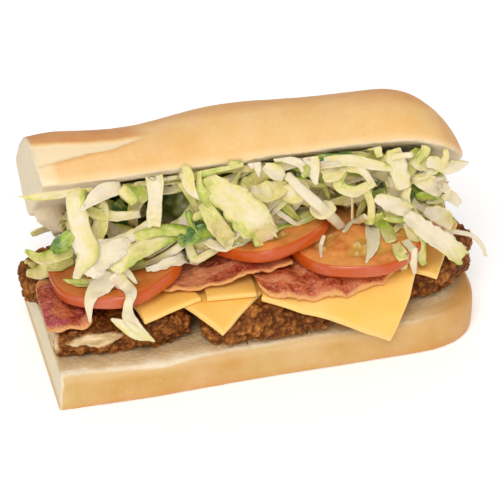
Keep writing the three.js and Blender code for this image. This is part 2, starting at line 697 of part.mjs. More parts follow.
for (const tomato of tomatoes) addMesh(tomato.name, tomatoGeometry(tomato), 'tomato');

// The soft crumb of the crown gives way where a slice presses into it
const pressed = tomatoes.reduce(
  (bread, tomato) => bread.subtract(solidOf(tomatoGeometry(tomato, GAP))),
  solidOf(crownGeometry()).add(solidOf(tornCrumbGeometry())),
);
addMesh('bread_top', geometryOf(pressed), 'crust');

// The heap with its shreds fused on, cut clear of everything round it
function lettuceGeometry() {
  let heap = solidOf(heapGeometry());
  for (const shred of [...standingShreds, ...scatteredShreds()]) {
    heap = heap.add(solidOf(shredGeometry(shred)));
  }
  for (const tomato of tomatoes) {
    heap = heap.subtract(solidOf(tomatoGeometry(tomato, GAP)));
  }
  const downFromCrown = [0, -GAP * Math.sin(CROWN_TILT), -GAP * Math.cos(CROWN_TILT)];
  for (const { name, geometry } of [...group.children]) {
    if (name.startsWith('tomato')) continue;
    const away = name === 'bread_top' ? downFromCrown : [0, -GAP, GAP];
    heap = heap.subtract(solidOf(geometry.clone().translate(...away)));
    heap = heap.subtract(solidOf(geometry));
  }
  return withoutShortEdges(geometryOf(largestPiece(heap)), SHORTEST_EDGE);
}

addMesh('lettuce', lettuceGeometry(), 'lettuce');

export default group;
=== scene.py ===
"""The looks of a chicken club sub: half a filled roll, tipped open at the front.

Units are metres; sizes below are written in millimetres times MM. X runs along the roll from the knife cut to
the rounded end, -Y is the open front and +Z is up.
"""
import math
import random

import bpy
import numpy as np
from bpy.props import FloatProperty, FloatVectorProperty, IntProperty, PointerProperty
from mathutils import Matrix, Vector


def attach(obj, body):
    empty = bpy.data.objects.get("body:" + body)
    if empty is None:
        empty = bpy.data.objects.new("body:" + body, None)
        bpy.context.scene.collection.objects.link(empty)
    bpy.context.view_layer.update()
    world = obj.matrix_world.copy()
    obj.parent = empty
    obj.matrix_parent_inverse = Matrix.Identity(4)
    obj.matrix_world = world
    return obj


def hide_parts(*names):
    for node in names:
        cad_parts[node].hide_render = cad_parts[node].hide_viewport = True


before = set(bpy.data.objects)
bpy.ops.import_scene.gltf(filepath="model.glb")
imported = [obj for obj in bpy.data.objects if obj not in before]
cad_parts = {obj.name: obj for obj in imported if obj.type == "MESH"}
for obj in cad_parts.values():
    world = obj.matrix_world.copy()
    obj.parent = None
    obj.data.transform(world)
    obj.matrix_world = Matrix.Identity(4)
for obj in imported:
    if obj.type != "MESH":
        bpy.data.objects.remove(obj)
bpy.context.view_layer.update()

bl_info = {
    "name": "Chicken club sub",
    "version": (1, 0, 0),
    "blender": (4, 5, 0),
    "location": "3D View > Sidebar > Sub",
    "description": "Builds the bread, fillings and stage of a chicken club sub",
    "category": "Object",
}

MM = 0.001
TAU = 2 * math.pi

# The sizes that place one piece against another, as in the solids
HEEL_HEIGHT = 16.0
BED_Z = 31.0
SHOULDER_Y = -29.0
SHOULDER_RADIUS = 12.0
CUT_X = -85.0
GAP = 0.35
CHEESE_THICKNESS = 2.2
BACON_THICKNESS = 1.5
TOMATO_THICKNESS = 5.5
HEEL_END = 38.0
HEEL_CUT_LEAN = 1.7
CROWN_TILT = math.radians(38)
CROWN_LENGTH = 168.0
CROWN_WIDTH = 79.0
CROWN_END = 46.0
CROWN_SQUARENESS = 2.4
CROWN_FRONT = (-1.3, -24.0, 86.7)
CROWN_CUT_SKEW = 3.0
CROWN_CUT_LEAN = 0.13
CROWN_END_LEAN = 0.21
CROWN_END_DROOP = 7.0

# The photograph's camera: pixels are those of a 500 by 500 frame
CAMERA_AZIMUTH = math.radians(15.5)
CAMERA_ELEVATION = math.radians(31)
CAMERA_DISTANCE = 760.0
CAMERA_TARGET = np.array([0.0, 0.0, 48.0])
CAMERA_CENTRE = (256.0, 215.0)
PIXELS_PER_MM = 2.6
FRAME_SIDE = 500
SENSOR = 36.0


def smoothstep(value, low, high):
    t = np.clip((np.asarray(value, float) - low) / (high - low), 0, 1)
    return t * t * (3 - 2 * t)


class PhotoCamera:
    """The pinhole camera that the photograph was fitted to, in millimetres."""

    def __init__(self):
        a, e = CAMERA_AZIMUTH, CAMERA_ELEVATION
        self.forward = np.array([math.sin(a) * math.cos(e), math.cos(a) * math.cos(e), -math.sin(e)])
        self.right = np.array([math.cos(a), -math.sin(a), 0.0])
        self.up = np.cross(self.right, self.forward)
        self.place = CAMERA_TARGET - self.forward * CAMERA_DISTANCE
        self.focal = PIXELS_PER_MM * CAMERA_DISTANCE

    def ray(self, u, v):
        across = (u - CAMERA_CENTRE[0]) / self.focal
        down = (v - CAMERA_CENTRE[1]) / self.focal
        return self.forward + self.right * across - self.up * down

    def on_y(self, u, v, y):
        """The point seen at pixel (u, v) that lies y in front of or behind the middle."""
        ray = self.ray(u, v)
        return self.place + ray * (y - self.place[1]) / ray[1]


CAMERA = PhotoCamera()
on_y = CAMERA.on_y


# Noise: the same numbers each run, from whole-number cells

def hashed(cells, seed):
    """One number from 0 to 1 for each whole-number cell."""
    x, y, z = (cells[..., i].astype(np.int64) for i in range(3))
    mixed = (x * 374761393 + y * 668265263 + z * 1440662683 + seed * 974711 + 12345) & 0xFFFFFFFF
    mixed = ((mixed ^ (mixed >> 13)) * 1274126177) & 0xFFFFFFFF
    mixed = ((mixed ^ (mixed >> 15)) * 2246822519) & 0xFFFFFFFF
    return (mixed ^ (mixed >> 16)) / 4294967296.0


def clouds(points, size, seed=0, octaves=1, gain=0.5):
    """Smooth noise from -1 to 1, with bumps of about size."""
    total = np.zeros(len(points))
    share = 1.0
    reach = 0.0
    for octave in range(octaves):
        scaled = points * (2.0 ** octave / size) + 17.3 * octave
        base = np.floor(scaled)
        t = scaled - base
        t = t * t * (3 - 2 * t)
        value = np.zeros(len(points))
        for corner in np.ndindex(2, 2, 2):
            weight = np.prod(np.where(corner, t, 1 - t), axis=1)
            value += weight * hashed(base + corner, seed + octave)
        total += share * (2 * value - 1)
        reach += share
        share *= gain
    return total / reach


def cells(points, size, seed=0):
    """Distances to the nearest and second nearest of points scattered one to a cell, as shares of size."""
    scaled = points / size
    base = np.floor(scaled)
    nearest = np.full(len(points), 9.0)
    second = np.full(len(points), 9.0)
    for step in np.ndindex(3, 3, 3):
        cell = base + np.array(step) - 1
        centre = cell + np.stack([hashed(cell, seed + k) for k in (11, 23, 37)], -1)
        away = np.linalg.norm(scaled - centre, axis=1)
        second = np.minimum(second, np.maximum(nearest, away))
        nearest = np.minimum(nearest, away)
    return nearest, second


# Meshes

def mesh_object(name, points, faces):
    """A smooth-shaded mesh from points in millimetres."""
    mesh = bpy.data.meshes.new(name)
    mesh.from_pydata((np.asarray(points) * MM).tolist(), [], [list(map(int, face)) for face in faces])
    mesh.validate()
    made = bpy.data.objects.new(name, mesh)
    bpy.context.scene.collection.objects.link(made)
    mesh.shade_smooth()
    return made


def apply_modifiers(made):
    graph = bpy.context.evaluated_depsgraph_get()
    mesh = bpy.data.meshes.new_from_object(made.evaluated_get(graph))
    made.modifiers.clear()
    old = made.data
    made.data = mesh
    bpy.data.meshes.remove(old)
    mesh.name = made.name
    mesh.shade_smooth()


def remeshed(made, voxel):
    """Even faces all over, about voxel millimetres across."""
    remesh = made.modifiers.new("even", "REMESH")
    remesh.mode = "VOXEL"
    remesh.voxel_size = voxel * MM
    remesh.use_smooth_shade = True
    apply_modifiers(made)


def points_of(made):
    points = np.empty(len(made.data.vertices) * 3)
    made.data.vertices.foreach_get("co", points)
    return points.reshape(-1, 3) / MM


def normals_of(made):
    normals = np.empty(len(made.data.vertices) * 3)
    made.data.vertex_normals.foreach_get("vector", normals)
    return normals.reshape(-1, 3)


def move_points(made, points):
    made.data.vertices.foreach_set("co", (points * MM).ravel())
    made.data.update()


def paint(made, name, values):
    """A number for each vertex, which the material reads."""
    layer = made.data.attributes.new(name, "FLOAT", "POINT")
    layer.data.foreach_set("value", np.asarray(values, np.float32))


def stacked_rings(rings):
    """Points and faces of a closed skin over rings of equal length, each end closed by a strip of quads."""
    rings = np.asarray(rings)
    levels, count = rings.shape[:2]
    faces = []
    for level in range(levels - 1):
        for i in range(count):
            a, b = level * count + i, level * count + (i + 1) % count
            faces.append((a, b, b + count, a + count))
    top = (levels - 1) * count
    for i in range(count // 2 - 1):
        across = count - 1 - i
        faces.append((top + i, top + i + 1, top + across - 1, top + across))
        faces.append((i, across, across - 1, i + 1))
    return rings.reshape(-1, 3), faces


def sheet(place, columns, rows, thickness):
    """Points, faces and (u, v, side) of a closed slice: place(u, v, height) for its bottom and its top."""
    u, v = np.meshgrid(np.linspace(0, 1, columns + 1), np.linspace(0, 1, rows + 1))
    u, v = u.ravel(), v.ravel()
    bottom = place(u, v, 0.0)
    top = place(u, v, thickness)
    side, upper = columns + 1, len(u)
    faces = []
    for row in range(rows):
        for column in range(columns):
            a = row * side + column
            faces.append((a, a + side, a + side + 1, a + 1))
            faces.append((upper + a, upper + a + 1, upper + a + side + 1, upper + a + side))
    rim = list(range(columns)) + [row * side + columns for row in range(rows)]
    rim += [rows * side + column for column in range(columns, 0, -1)]
    rim += [row * side for row in range(rows, 0, -1)]
    for a, b in zip(rim, rim[1:] + rim[:1]):
        faces.append((a, b, upper + b, upper + a))
    where = np.stack([np.tile(u, 2), np.tile(v, 2), np.repeat([0.0, 1.0], upper)], -1)
    return np.concatenate([bottom, top]), faces, where


def finish_piece(made, replaced, material):
    """Gives the piece its material, hangs it under the root and hides the solids it stands for."""
    made.data.materials.clear()
    made.data.materials.append(material)
    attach(made, "root")
    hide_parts(*replaced)


# Materials

class Paint:
    """A material under construction: short names for its nodes and links."""

    def __init__(self, name):
        self.material = bpy.data.materials.new(name)
        self.material.use_nodes = True
        self.tree = self.material.node_tree
        self.shader = self.tree.nodes["Principled BSDF"]
        self.place = self.tree.nodes.new("ShaderNodeTexCoord").outputs["Object"]

    def node(self, kind, inputs=(), **settings):
        made = self.tree.nodes.new(kind)
        for key, value in settings.items():
            setattr(made, key, value)
        for key, value in dict(inputs).items():
            self.feed(made.inputs[key], value)
        return made

    def feed(self, socket, value):
        if isinstance(value, bpy.types.NodeSocket):
            self.tree.links.new(value, socket)
        else:
            socket.default_value = value

    def attribute(self, name):
        return self.node("ShaderNodeAttribute", attribute_name=name).outputs["Fac"]

    def noise(self, size, detail=3.0, roughness=0.55, stretch=(1, 1, 1)):
        """Noise with bumps of about size millimetres, from 0 to 1."""
        scaled = self.node("ShaderNodeMapping", {"Vector": self.place, "Scale": stretch}).outputs["Vector"]
        inputs = {"Vector": scaled, "Scale": 1 / (size * MM), "Detail": detail, "Roughness": roughness}
        return self.node("ShaderNodeTexNoise", inputs).outputs["Fac"]

    def pits(self, size, randomness=1.0):
        inputs = {"Vector": self.place, "Scale": 1 / (size * MM), "Randomness": randomness}
        return self.node("ShaderNodeTexVoronoi", inputs).outputs["Distance"]

    def level(self, value, low, high, to_low=0.0, to_high=1.0):
        inputs = {"Value": value, "From Min": low, "From Max": high, "To Min": to_low, "To Max": to_high}
        return self.node("ShaderNodeMapRange", inputs).outputs["Result"]

    def maths(self, operation, a, b):
        made = self.node("ShaderNodeMath", operation=operation, use_clamp=False)
        self.feed(made.inputs[0], a)
        self.feed(made.inputs[1], b)
        return made.outputs[0]

    def mix(self, share, a, b, blend="MIX"):
        made = self.node("ShaderNodeMix", data_type="RGBA", blend_type=blend, clamp_factor=True)
        self.feed(made.inputs["Factor"], share)
        self.feed(made.inputs[6], as_colour(a))
        self.feed(made.inputs[7], as_colour(b))
        return made.outputs[2]

    def ramp(self, value, stops):
        """Colours at places from 0 to 1."""
        made = self.node("ShaderNodeValToRGB", {"Fac": value})
        while len(made.color_ramp.elements) < len(stops):
            made.color_ramp.elements.new(1.0)
        for element, (place, colour) in zip(made.color_ramp.elements, stops):
            element.position = place
            element.color = as_colour(colour)
        return made.outputs["Color"]

    def bump(self, height, distance, strength=1.0, below=None):
        inputs = {"Height": height, "Distance": distance * MM, "Strength": strength}
        if below is not None:
            inputs["Normal"] = below
        return self.node("ShaderNodeBump", inputs).outputs["Normal"]

    def set(self, **values):
        """Sets or links the shader's own sockets."""
        for key, value in values.items():
            self.feed(self.shader.inputs[key.replace("_", " ")], value)
        return self.material


def as_colour(value):
    if isinstance(value, bpy.types.NodeSocket):
        return value
    return (*value[:3], 1.0)


def srgb(red, green, blue):
    """A colour as read from the photograph, from 0 to 255, in the linear light that the shader takes."""
    def linear(channel):
        share = channel / 255
        return share / 12.92 if share <= 0.04045 else ((share + 0.055) / 1.055) ** 2.4
    return (linear(red), linear(green), linear(blue))


def colour_property(name, text, default):
    return FloatVectorProperty(name=name, description=text, subtype="COLOR", default=default, min=0, max=1)


def size_property(name, text, default):
    return FloatProperty(name=name, description=text, default=default * MM, unit="LENGTH", min=0)


def power_property(name, text, default):
    return FloatProperty(name=name, description=text, default=default, unit="POWER", min=0)


# Bread

class BreadSettings(bpy.types.PropertyGroup):
    heel_length: size_property("Bottom length", "Length of the bottom bread", 170)
    heel_width: size_property("Bottom width", "Width of the bottom bread", 81)
    crown_length: size_property("Top length", "Length of the top bread", CROWN_LENGTH)
    crown_width: size_property("Top width", "Width of the top bread's cut face", CROWN_WIDTH)
    crown_height: size_property("Top height", "Height of the top bread's dome", 25)
    grain: size_property("Mesh size", "Size of the mesh's faces", 0.95)
    crust: colour_property("Crust", "Golden crust on the sides", srgb(236, 188, 116))
    # Painted shade: the bottom half's crust is a darker copy of the crown's crust
    heel_crust_shaded: colour_property("Heel crust", "Crust along the side of the bottom half", srgb(202, 162, 90))
    baked: colour_property("Baked crust", "Browner crust along the top", srgb(206, 128, 58))
    pale: colour_property("Pale crust", "Crust that opened late in the oven", srgb(246, 222, 180))
    crumb: colour_property("Crumb", "Cut and torn crumb", srgb(238, 222, 192))
    # Stain and shade: crumb soaked with juice, plus painted shade where the filling sits on it
    stain: colour_property("Stain", "Crumb soaked with juice under the filling", srgb(212, 176, 122))


def bell(x, middle, spread):
    return np.exp(-((x - middle) / spread) ** 2)


def roll_outline(length, width, inset=0.0, end=HEEL_END, squareness=3.0, sides=90, tips=60):
    """Plan outline of a half roll, counterclockwise from the front of the knife cut."""
    half = width / 2 - inset
    reach = end - inset
    end_start = length / 2 - end
    along = np.linspace(-length / 2, end_start, sides, endpoint=False)
    angle = math.pi / 2 * np.arange(tips + 1) / (tips + 0.5)
    tip_x = end_start + reach * np.sin(angle) ** (2 / squareness)
    tip_y = -half * np.cos(angle) ** (2 / squareness)
    front = np.concatenate([np.stack([along, np.full(sides, -half)], -1), np.stack([tip_x, tip_y], -1)])
    return np.concatenate([front, (front * [1, -1])[::-1]])


def crown_swell(x):
    """How the dome swells and dips along the roll, as a share of its full height."""
    cut_drop = 0.06 * smoothstep(-x, 72, 86)
    slump = 0.02 * smoothstep(x, 10, 85)
    dip = 0.11 * bell(x, -50, 22)
    return 0.97 - cut_drop - slump - dip + 0.073 * bell(x, -9, 23) + 0.12 * bell(x, 78, 18)


def crown_droop(x):
    """How far the rounded end hangs below the rest of the crown."""
    return CROWN_END_DROOP * smoothstep(x, 48, 88)


def crown_point(x, across, height):
    """From the crown's own frame (along the roll, back across its cut face, up from it) to the sandwich."""
    x, across, height = np.broadcast_arrays(*(np.asarray(value, float) for value in (x, across, height)))
    near_cut = smoothstep(-x, 20, CROWN_LENGTH / 2)
    skew = (CROWN_CUT_SKEW * across / CROWN_WIDTH - CROWN_CUT_LEAN * height) * near_cut
    raised = height - crown_droop(x)
    return np.stack([
        CROWN_FRONT[0] + x + skew - CROWN_END_LEAN * height * smoothstep(x, 45, 84),
        CROWN_FRONT[1] + across * math.cos(CROWN_TILT) + raised * math.sin(CROWN_TILT),
        CROWN_FRONT[2] - across * math.sin(CROWN_TILT) + raised * math.cos(CROWN_TILT),
    ], -1)


def crown_frame(points):
    """From the sandwich to the crown's own frame: along it, back across it and up from its cut face."""
    x = points[:, 0] - CROWN_FRONT[0]
    y = points[:, 1] - CROWN_FRONT[1]
    z = points[:, 2] - CROWN_FRONT[2]
    across = y * math.cos(CROWN_TILT) - z * math.sin(CROWN_TILT)
    height = y * math.sin(CROWN_TILT) + z * math.cos(CROWN_TILT) + crown_droop(x)
    return x, across, height


def crumb_relief(points):
    """Fine open crumb with a few larger holes."""
    small, _ = cells(points, 2.2, 5)
    large, _ = cells(points, 7.0, 9)
    pits = 0.12 * (1 - smoothstep(small, 0.1, 0.45)) + 0.5 * (1 - smoothstep(large, 0.02, 0.16))
    return 0.25 * clouds(points, 4, 3, 2) - pits


def crust_relief(points):
    """Slow dents and faint wrinkles of a crust."""
    return 0.5 * clouds(points, 26, 1, 2) + 0.1 * clouds(points, 6, 2, 2) + 0.03 * clouds(points, 1.8, 4)


def bread_material(name, settings, crust_colour):
    """Crust, browned and pale in patches, and open crumb that the filling has stained, darkened by painted
    shade next to the filling and in its holes.
    """
    bread = Paint(name)
    crumb = bread.attribute("crumb")
    baked = bread.attribute("baked")
    pale = bread.attribute("pale")
    stain = bread.attribute("stain")
    broad = bread.noise(14, 3)
    fine = bread.noise(1.0, 3, 0.6)
    dust = bread.noise(2.4, 5, 0.7)
    patchy = bread.noise(34, 3)
    crust = bread.mix(bread.level(broad, 0.35, 0.7, 0, 0.28), crust_colour, settings.pale)
    tanned = bread.maths("ADD", baked, bread.level(patchy, 0.35, 0.65, -0.1, 0.12))
    tanned = bread.maths("ADD", tanned, bread.level(dust, 0.3, 0.7, -0.08, 0.08))
    crust = bread.mix(tanned, crust, settings.baked)
    crust = bread.mix(bread.level(dust, 0.58, 0.74, 0, 0.22), crust, settings.pale)
    crust = bread.mix(bread.level(fine, 0.56, 0.72, 0, 0.16), crust, settings.baked)
    crust = bread.mix(pale, crust, settings.pale)
    holes = bread.pits(1.5)
    inside = bread.mix(bread.level(broad, 0.4, 0.7, 0, 0.3), settings.crumb, settings.pale)
    # Painted shade: a darker copy of the crumb colour in the crumb's holes
    hole_shade_crumb = tuple(0.55 * c for c in settings.crumb)
    dim_crumb = tuple(0.7 * c for c in settings.crumb)
    inside = bread.mix(bread.level(holes, 0.02, 0.3, 0.3, 0), inside, hole_shade_crumb)
    inside = bread.mix(bread.level(fine, 0.45, 0.7, 0, 0.2), inside, dim_crumb)
    # The crumb's stain and painted shade, broken up by the dust noise
    soaked_and_shaded = bread.maths("MULTIPLY", stain, bread.level(dust, 0.3, 0.65, 0.55, 1.0))
    inside = bread.mix(soaked_and_shaded, inside, settings.stain)
    colour = bread.mix(crumb, crust, inside)
    normal = bread.bump(fine, 0.12, 0.5)
    normal = bread.bump(holes, 0.4, bread.level(crumb, 0, 1, 0, 0.6), normal)
    rough = bread.level(crumb, 0, 1, 0.52, 0.9)
    return bread.set(Base_Color=colour, Roughness=rough, Normal=normal, Subsurface_Weight=0.1,
                     Subsurface_Radius=(0.004, 0.002, 0.001), Specular_IOR_Level=0.3)


HEEL_WALL = [(0, 0.8), (1, 0.2), (4, 0), (9, 0), (13, 0.3), (15, 1.6), (HEEL_HEIGHT, 5)]


def heel_lean(x, z):
    """How far the knife cut leans out at its foot."""
    return HEEL_CUT_LEAN * (1 - z / HEEL_HEIGHT) * smoothstep(-x, 55, 85)


def heel_skin(length, width):
    """The bottom half from its foot up, a little fuller in front near the knife cut."""
    rings = []
    for z, inset in HEEL_WALL:
        x, y = roll_outline(length, width, inset).T
        y = np.where(y < 0, y - 1.1 * bell(x, -52, 22), y)
        rings.append(np.stack([x - heel_lean(x, z), y, np.full_like(x, z)], -1))
    return stacked_rings(rings)


def heel_cut_face(points):
    """1 on the knife cut at the left end."""
    x, _, z = points.T
    straight = x + heel_lean(x, z)
    return smoothstep(-straight, -CUT_X - 0.9, -CUT_X - 0.4)


def heel_upper_side(points):
    """1 above the edge along which the roll was split."""
    edge = 14.2 - 1.3 * bell(points[:, 0], -48, 14) + 0.5 * clouds(points, 9, 8, 2)
    return smoothstep(points[:, 2], edge, edge + 0.9)


def heel_wrap(points, length, width):
    """1 where crust wraps over the rim of the rounded end."""
    x, y, _ = points.T
    end_start = length / 2 - HEEL_END
    along = np.clip((x - end_start) / HEEL_END, 0, 1)
    inset = (1 - (along ** 3 + np.abs(2 * y / width) ** 3) ** (1 / 3)) * HEEL_END
    return smoothstep(x, 50, 70) * (1 - smoothstep(inset + 1.2 * clouds(points, 8, 14), 4, 9.5))


def paint_heel(heel, points, crumb, top, cut):
    x, y, z = points.T
    sole = smoothstep(-z, -5, -1)
    # Juice stain and painted shade on the heel's top crumb, from near its front rim back under the chicken;
    # the foot of the cut face takes the same colour
    stain_and_shade_edge = -41 + 3 * smoothstep(-x, 66, 80)
    soaked_and_shaded = smoothstep(y + 1.6 * clouds(points, 5, 33, 2), stain_and_shade_edge, -36.5)
    soaked_and_shaded = np.where(y > 0, smoothstep(-y, -40, -34), soaked_and_shaded) * (1 - 0.6 * smoothstep(x, 60, 78))
    patches = 0.2 * smoothstep(clouds(points, 24, 12), 0, 0.7)
    baked = 0.08 + 0.2 * sole + 0.3 * smoothstep(x, 40, 85) + patches
    stain = soaked_and_shaded * top + 0.75 * cut * smoothstep(-z, -5.5, -2.5)
    paint(heel, "crumb", crumb)
    paint(heel, "baked", np.clip(baked, 0, 1))
    # Painted highlight: the pale crust colour in a band just under the heel's top edge, on its left part
    paint(heel, "pale", 0.25 * smoothstep(z, 10, 14) * (1 - smoothstep(x, 40, 70)))
    paint(heel, "stain", np.clip(stain, 0, 1))


def build_heel(settings):
    length, width = settings.heel_length / MM, settings.heel_width / MM
    heel = mesh_object("bread_bottom_baked", *heel_skin(length, width))
    remeshed(heel, settings.grain / MM)
    points, normals = points_of(heel), normals_of(heel)
    top, cut = heel_upper_side(points), heel_cut_face(points)
    crumb = np.maximum(top * (1 - heel_wrap(points, length, width)) * (normals[:, 2] > -0.2), cut)
    foot = 1 - smoothstep(points[:, 2], 0.3, 1.2)
    relief = np.where(crumb > 0.5, crumb_relief(points), crust_relief(points)) * (1 - foot)
    move_points(heel, points + normals * relief[:, None])
    paint_heel(heel, points, crumb, top, cut)
    return heel


# The torn wedge of pale crust beside the knife cut: its lower and upper edge as heights along the crown
WEDGE_X = (-90.0, -82.6, -75.8, -66.0, -56.0, -49.0, -44.0)
WEDGE_LOW = (6.4, 7.3, 8.6, 10.0, 10.6, 12.6, 13.6)
WEDGE_HIGH = (16.6, 15.8, 15.2, 13.9, 13.5, 13.7, 13.6)
TORN_CRUMB = [(-9.5, -74, 66, 3, 5), (-4, -76, 66, 6.5, 9), (3, -75, 66, 8.5, 11)]


def torn_crumb():
    """Crumb that tore down beside the knife cut: sections from its tip up into the bread."""
    turn = TAU * np.arange(24) / 24
    rings = []
    for height, x, across, half_length, half_width in TORN_CRUMB:
        rings.append(crown_point(x + half_length * np.cos(turn), across + half_width * np.sin(turn), height))
    return stacked_rings(rings)


def crown_skin(settings):
    """The dome from its cut face up, as rings that close in towards the ridge."""
    levels = 46
    length, width = settings.crown_length / MM, settings.crown_width / MM
    rings = []
    for level in range(levels + 1):
        angle = math.pi / 2 * level / (levels + 0.4)
        height = settings.crown_height / MM * math.sin(angle) ** 0.85
        inset = width / 2 * (1 - math.cos(angle) ** 0.5) + (0.8 if level == 0 else 0)
        x, y = roll_outline(length, width, inset, CROWN_END, CROWN_SQUARENESS).T
        rings.append(crown_point(x, y + width / 2, height * crown_swell(x)))
    return stacked_rings(rings)


def crown_underside(points, normals, height):
    """1 on the cut face under the crown."""
    under = 1 - smoothstep(height, 0.6 + 0.5 * clouds(points, 7, 8), 1.4)
    lean = np.array([0, -math.sin(CROWN_TILT), -math.cos(CROWN_TILT)])
    return under * smoothstep(normals @ lean, 0.55, 0.8)


def crown_wedge(points, x, height, crust_in_front):
    """The torn wedge beside the knife cut: how open it is, the ridge of crust under it, whose brown line is
    partly painted shadow, and its upper edge.
    """
    rise = height + 0.5 * clouds(points, 9, 31, 2)
    low, high = np.interp(x, WEDGE_X, WEDGE_LOW), np.interp(x, WEDGE_X, WEDGE_HIGH)
    opened = smoothstep(rise, low, low + 0.5) * (1 - smoothstep(rise, high - 0.3, high + 0.9))
    opened = opened * crust_in_front
    lip_and_shadow_line = bell(rise, low - 0.7, 0.9) * crust_in_front * smoothstep(high - low, 0, 3)
    return opened, lip_and_shadow_line, high


def crown_baking(points, x, across, height, wedge_top):
    """How brown the crust is along the ridge, above the wedge, at the rounded end and behind."""
    over = smoothstep(height + 0.10 * across + 1.6 * clouds(points, 15, 14, 2), 17.5, 23)
    left = smoothstep(-x, 38, 52) * smoothstep(height, wedge_top + 0.2, wedge_top + 1.6)
    right = smoothstep(x, 22, 52) * smoothstep(height, 12, 20)
    tip = smoothstep(x, 62, 80)
    behind = smoothstep(across, 34, 52)
    towards_front = 1 - smoothstep(across + 3 * clouds(points, 14, 23, 2), 16, 46)
    baked = np.maximum.reduce([
        0.5 * over, 0.9 * left * towards_front, 0.7 * right, 0.6 * tip, 0.6 * behind,
    ])
    return baked * (0.85 + 0.3 * clouds(points, 12, 19, 3))


def crown_mesh(settings):
    points, faces = crown_skin(settings)
    flap, flap_faces = torn_crumb()
    faces += [tuple(corner + len(points) for corner in face) for face in flap_faces]
    crown = mesh_object("bread_top_baked", np.concatenate([points, flap]), faces)
    remeshed(crown, settings.grain / MM)
    return crown


def build_crown(settings):
    crown = crown_mesh(settings)
    points, normals = points_of(crown), normals_of(crown)
    width, length = settings.crown_width / MM, settings.crown_length / MM
    x, across, height = crown_frame(points)
    under = crown_underside(points, normals, height)
    flap = smoothstep(-height, 0.3, 1.0)
    cut_edge = -length / 2 + CROWN_CUT_SKEW * across / width - CROWN_CUT_LEAN * height
    cut = 1 - smoothstep(x, cut_edge + 0.5, cut_edge + 1.1)
    crumb = np.maximum(np.maximum(under, flap), cut)
    front = (across < width / 2) & (x < WEDGE_X[-1])
    opened, lip_and_shadow_line, wedge_top = crown_wedge(points, x, height, front * (1 - crumb))
    relief = np.where(crumb > 0.5, crumb_relief(points), crust_relief(points)) - 0.8 * opened + 0.5 * lip_and_shadow_line
    shift = normals * relief[:, None]
    hem = bell(across, 1.5, 4) * bell(height, 1, 3)
    shift[:, 2] += 0.7 * hem * clouds(points * [1, 0, 0], 16, 41, 2)
    move_points(crown, points + shift)
    # Baked crust, plus a brown line along the ridge under the wedge, partly painted shadow where the ridge
    # overlaps the wedge
    baked = crown_baking(points, x, across, height, wedge_top) + 0.25 * lip_and_shadow_line
    by_cut = (1 - smoothstep(x - cut_edge, 4, 8)) * (height < wedge_top) * front
    damp = smoothstep(clouds(points, 12, 51, 2), -0.2, 0.6)
    paint(crown, "crumb", crumb)
    paint(crown, "baked", np.clip(baked * (1 - opened), 0, 1))
    paint(crown, "pale", np.clip(0.95 * opened + 0.6 * by_cut + 0.3 * (1 - smoothstep(height, 1, 4)), 0, 1))
    paint(crown, "stain", 0.35 * under * damp + 0.15 * flap)
    return crown


class SUB_OT_bread(bpy.types.Operator):
    """Both halves of the roll, with crust outside and open crumb on the cut faces"""
    bl_idname = "sub.bread"
    bl_label = "Bread"

    def execute(self, context):
        settings = context.scene.sub_bread
        heel_material = bread_material("baked_heel", settings, settings.heel_crust_shaded)
        crown_material = bread_material("baked_bread", settings, settings.crust)
        finish_piece(build_heel(settings), ["bread_bottom"], heel_material)
        finish_piece(build_crown(settings), ["bread_top"], crown_material)
        return {"FINISHED"}


# Chicken

class ChickenSettings(bpy.types.PropertyGroup):
    grain: size_property("Mesh size", "Size of the mesh's faces", 0.7)
    crag: size_property("Crag height", "Height of the breading's largest crags", 2.0)
    # Colours set along the crags' height: the crevice colour is painted shade between the crags, and the
    # golden colour is partly painted light on their tips
    breading: colour_property("Breading", "Fried breading on the crags", srgb(150, 88, 32))
    crevice_shade: colour_property("Crevice", "Dark breading between the crags", srgb(98, 50, 10))
    golden_and_lit_tips: colour_property("Golden breading", "Lighter flakes of breading", srgb(202, 138, 70))
    meat: colour_property("Meat", "Pale meat at the cut and where the breading is torn", srgb(232, 204, 160))


CLUMP_SIZE = 4.6
CRUMB_SIZE = 2.3
GRAIN_SIZE = 1.5
TORN_MIDDLE = (-70, -37.5, 25.5)
TORN_REACH = (13, 8, 3.2)

TENDERS = {
    "chicken_front_left": {
        "start": -90, "end": -31.4, "front": -38, "back": -6, "cut": True, "undercut": 5, "square": 0.5,
    },
    "chicken_front_middle": {"start": -31.2, "end": 24, "front": -42, "back": -6, "square": 0.5},
    "chicken_back": {"start": -92, "end": 24, "front": -4.5, "back": 34},
    "chicken_right": {"start": 26, "end": 89, "front": -31, "back": 36, "square": 1.05},
}


def lumps(x, y, z):
    """The slow lumps that run over every piece of chicken."""
    return (np.sin(x * 0.31 + y * 0.17 + z * 0.5) * 0.5
            + np.sin(x * 0.53 - y * 0.41 + z * 0.37 + 1.3) * 0.35
            + np.sin(x * 0.83 + y * 0.67 - z * 0.71 + 2.1) * 0.25)


def shoulder_top(y):
    """Height of the chicken's rounded front shoulder, on which the slices lie."""
    reach = np.clip(SHOULDER_Y - y, 0, SHOULDER_RADIUS)
    return BED_Z - SHOULDER_RADIUS + np.sqrt(SHOULDER_RADIUS ** 2 - reach ** 2)


def boxy(value, power):
    return np.sign(value) * np.abs(value) ** power


def rounded_block(square, rings, segments):
    """Directions from the middle of a block with rounded corners, ring by ring, then its two poles."""
    turns = TAU * np.arange(segments) / segments
    rises = -math.pi / 2 + math.pi * np.arange(1, rings) / rings
    turn, rise = (grid.ravel() for grid in np.meshgrid(turns, rises))
    turn, rise = np.append(turn, [0, 0]), np.append(rise, [-math.pi / 2, math.pi / 2])
    flat = np.abs(np.cos(rise)) ** 0.5
    return np.stack([
        boxy(np.cos(turn), square) * flat, boxy(np.sin(turn), square) * flat, boxy(np.sin(rise), 0.62),
    ], -1)


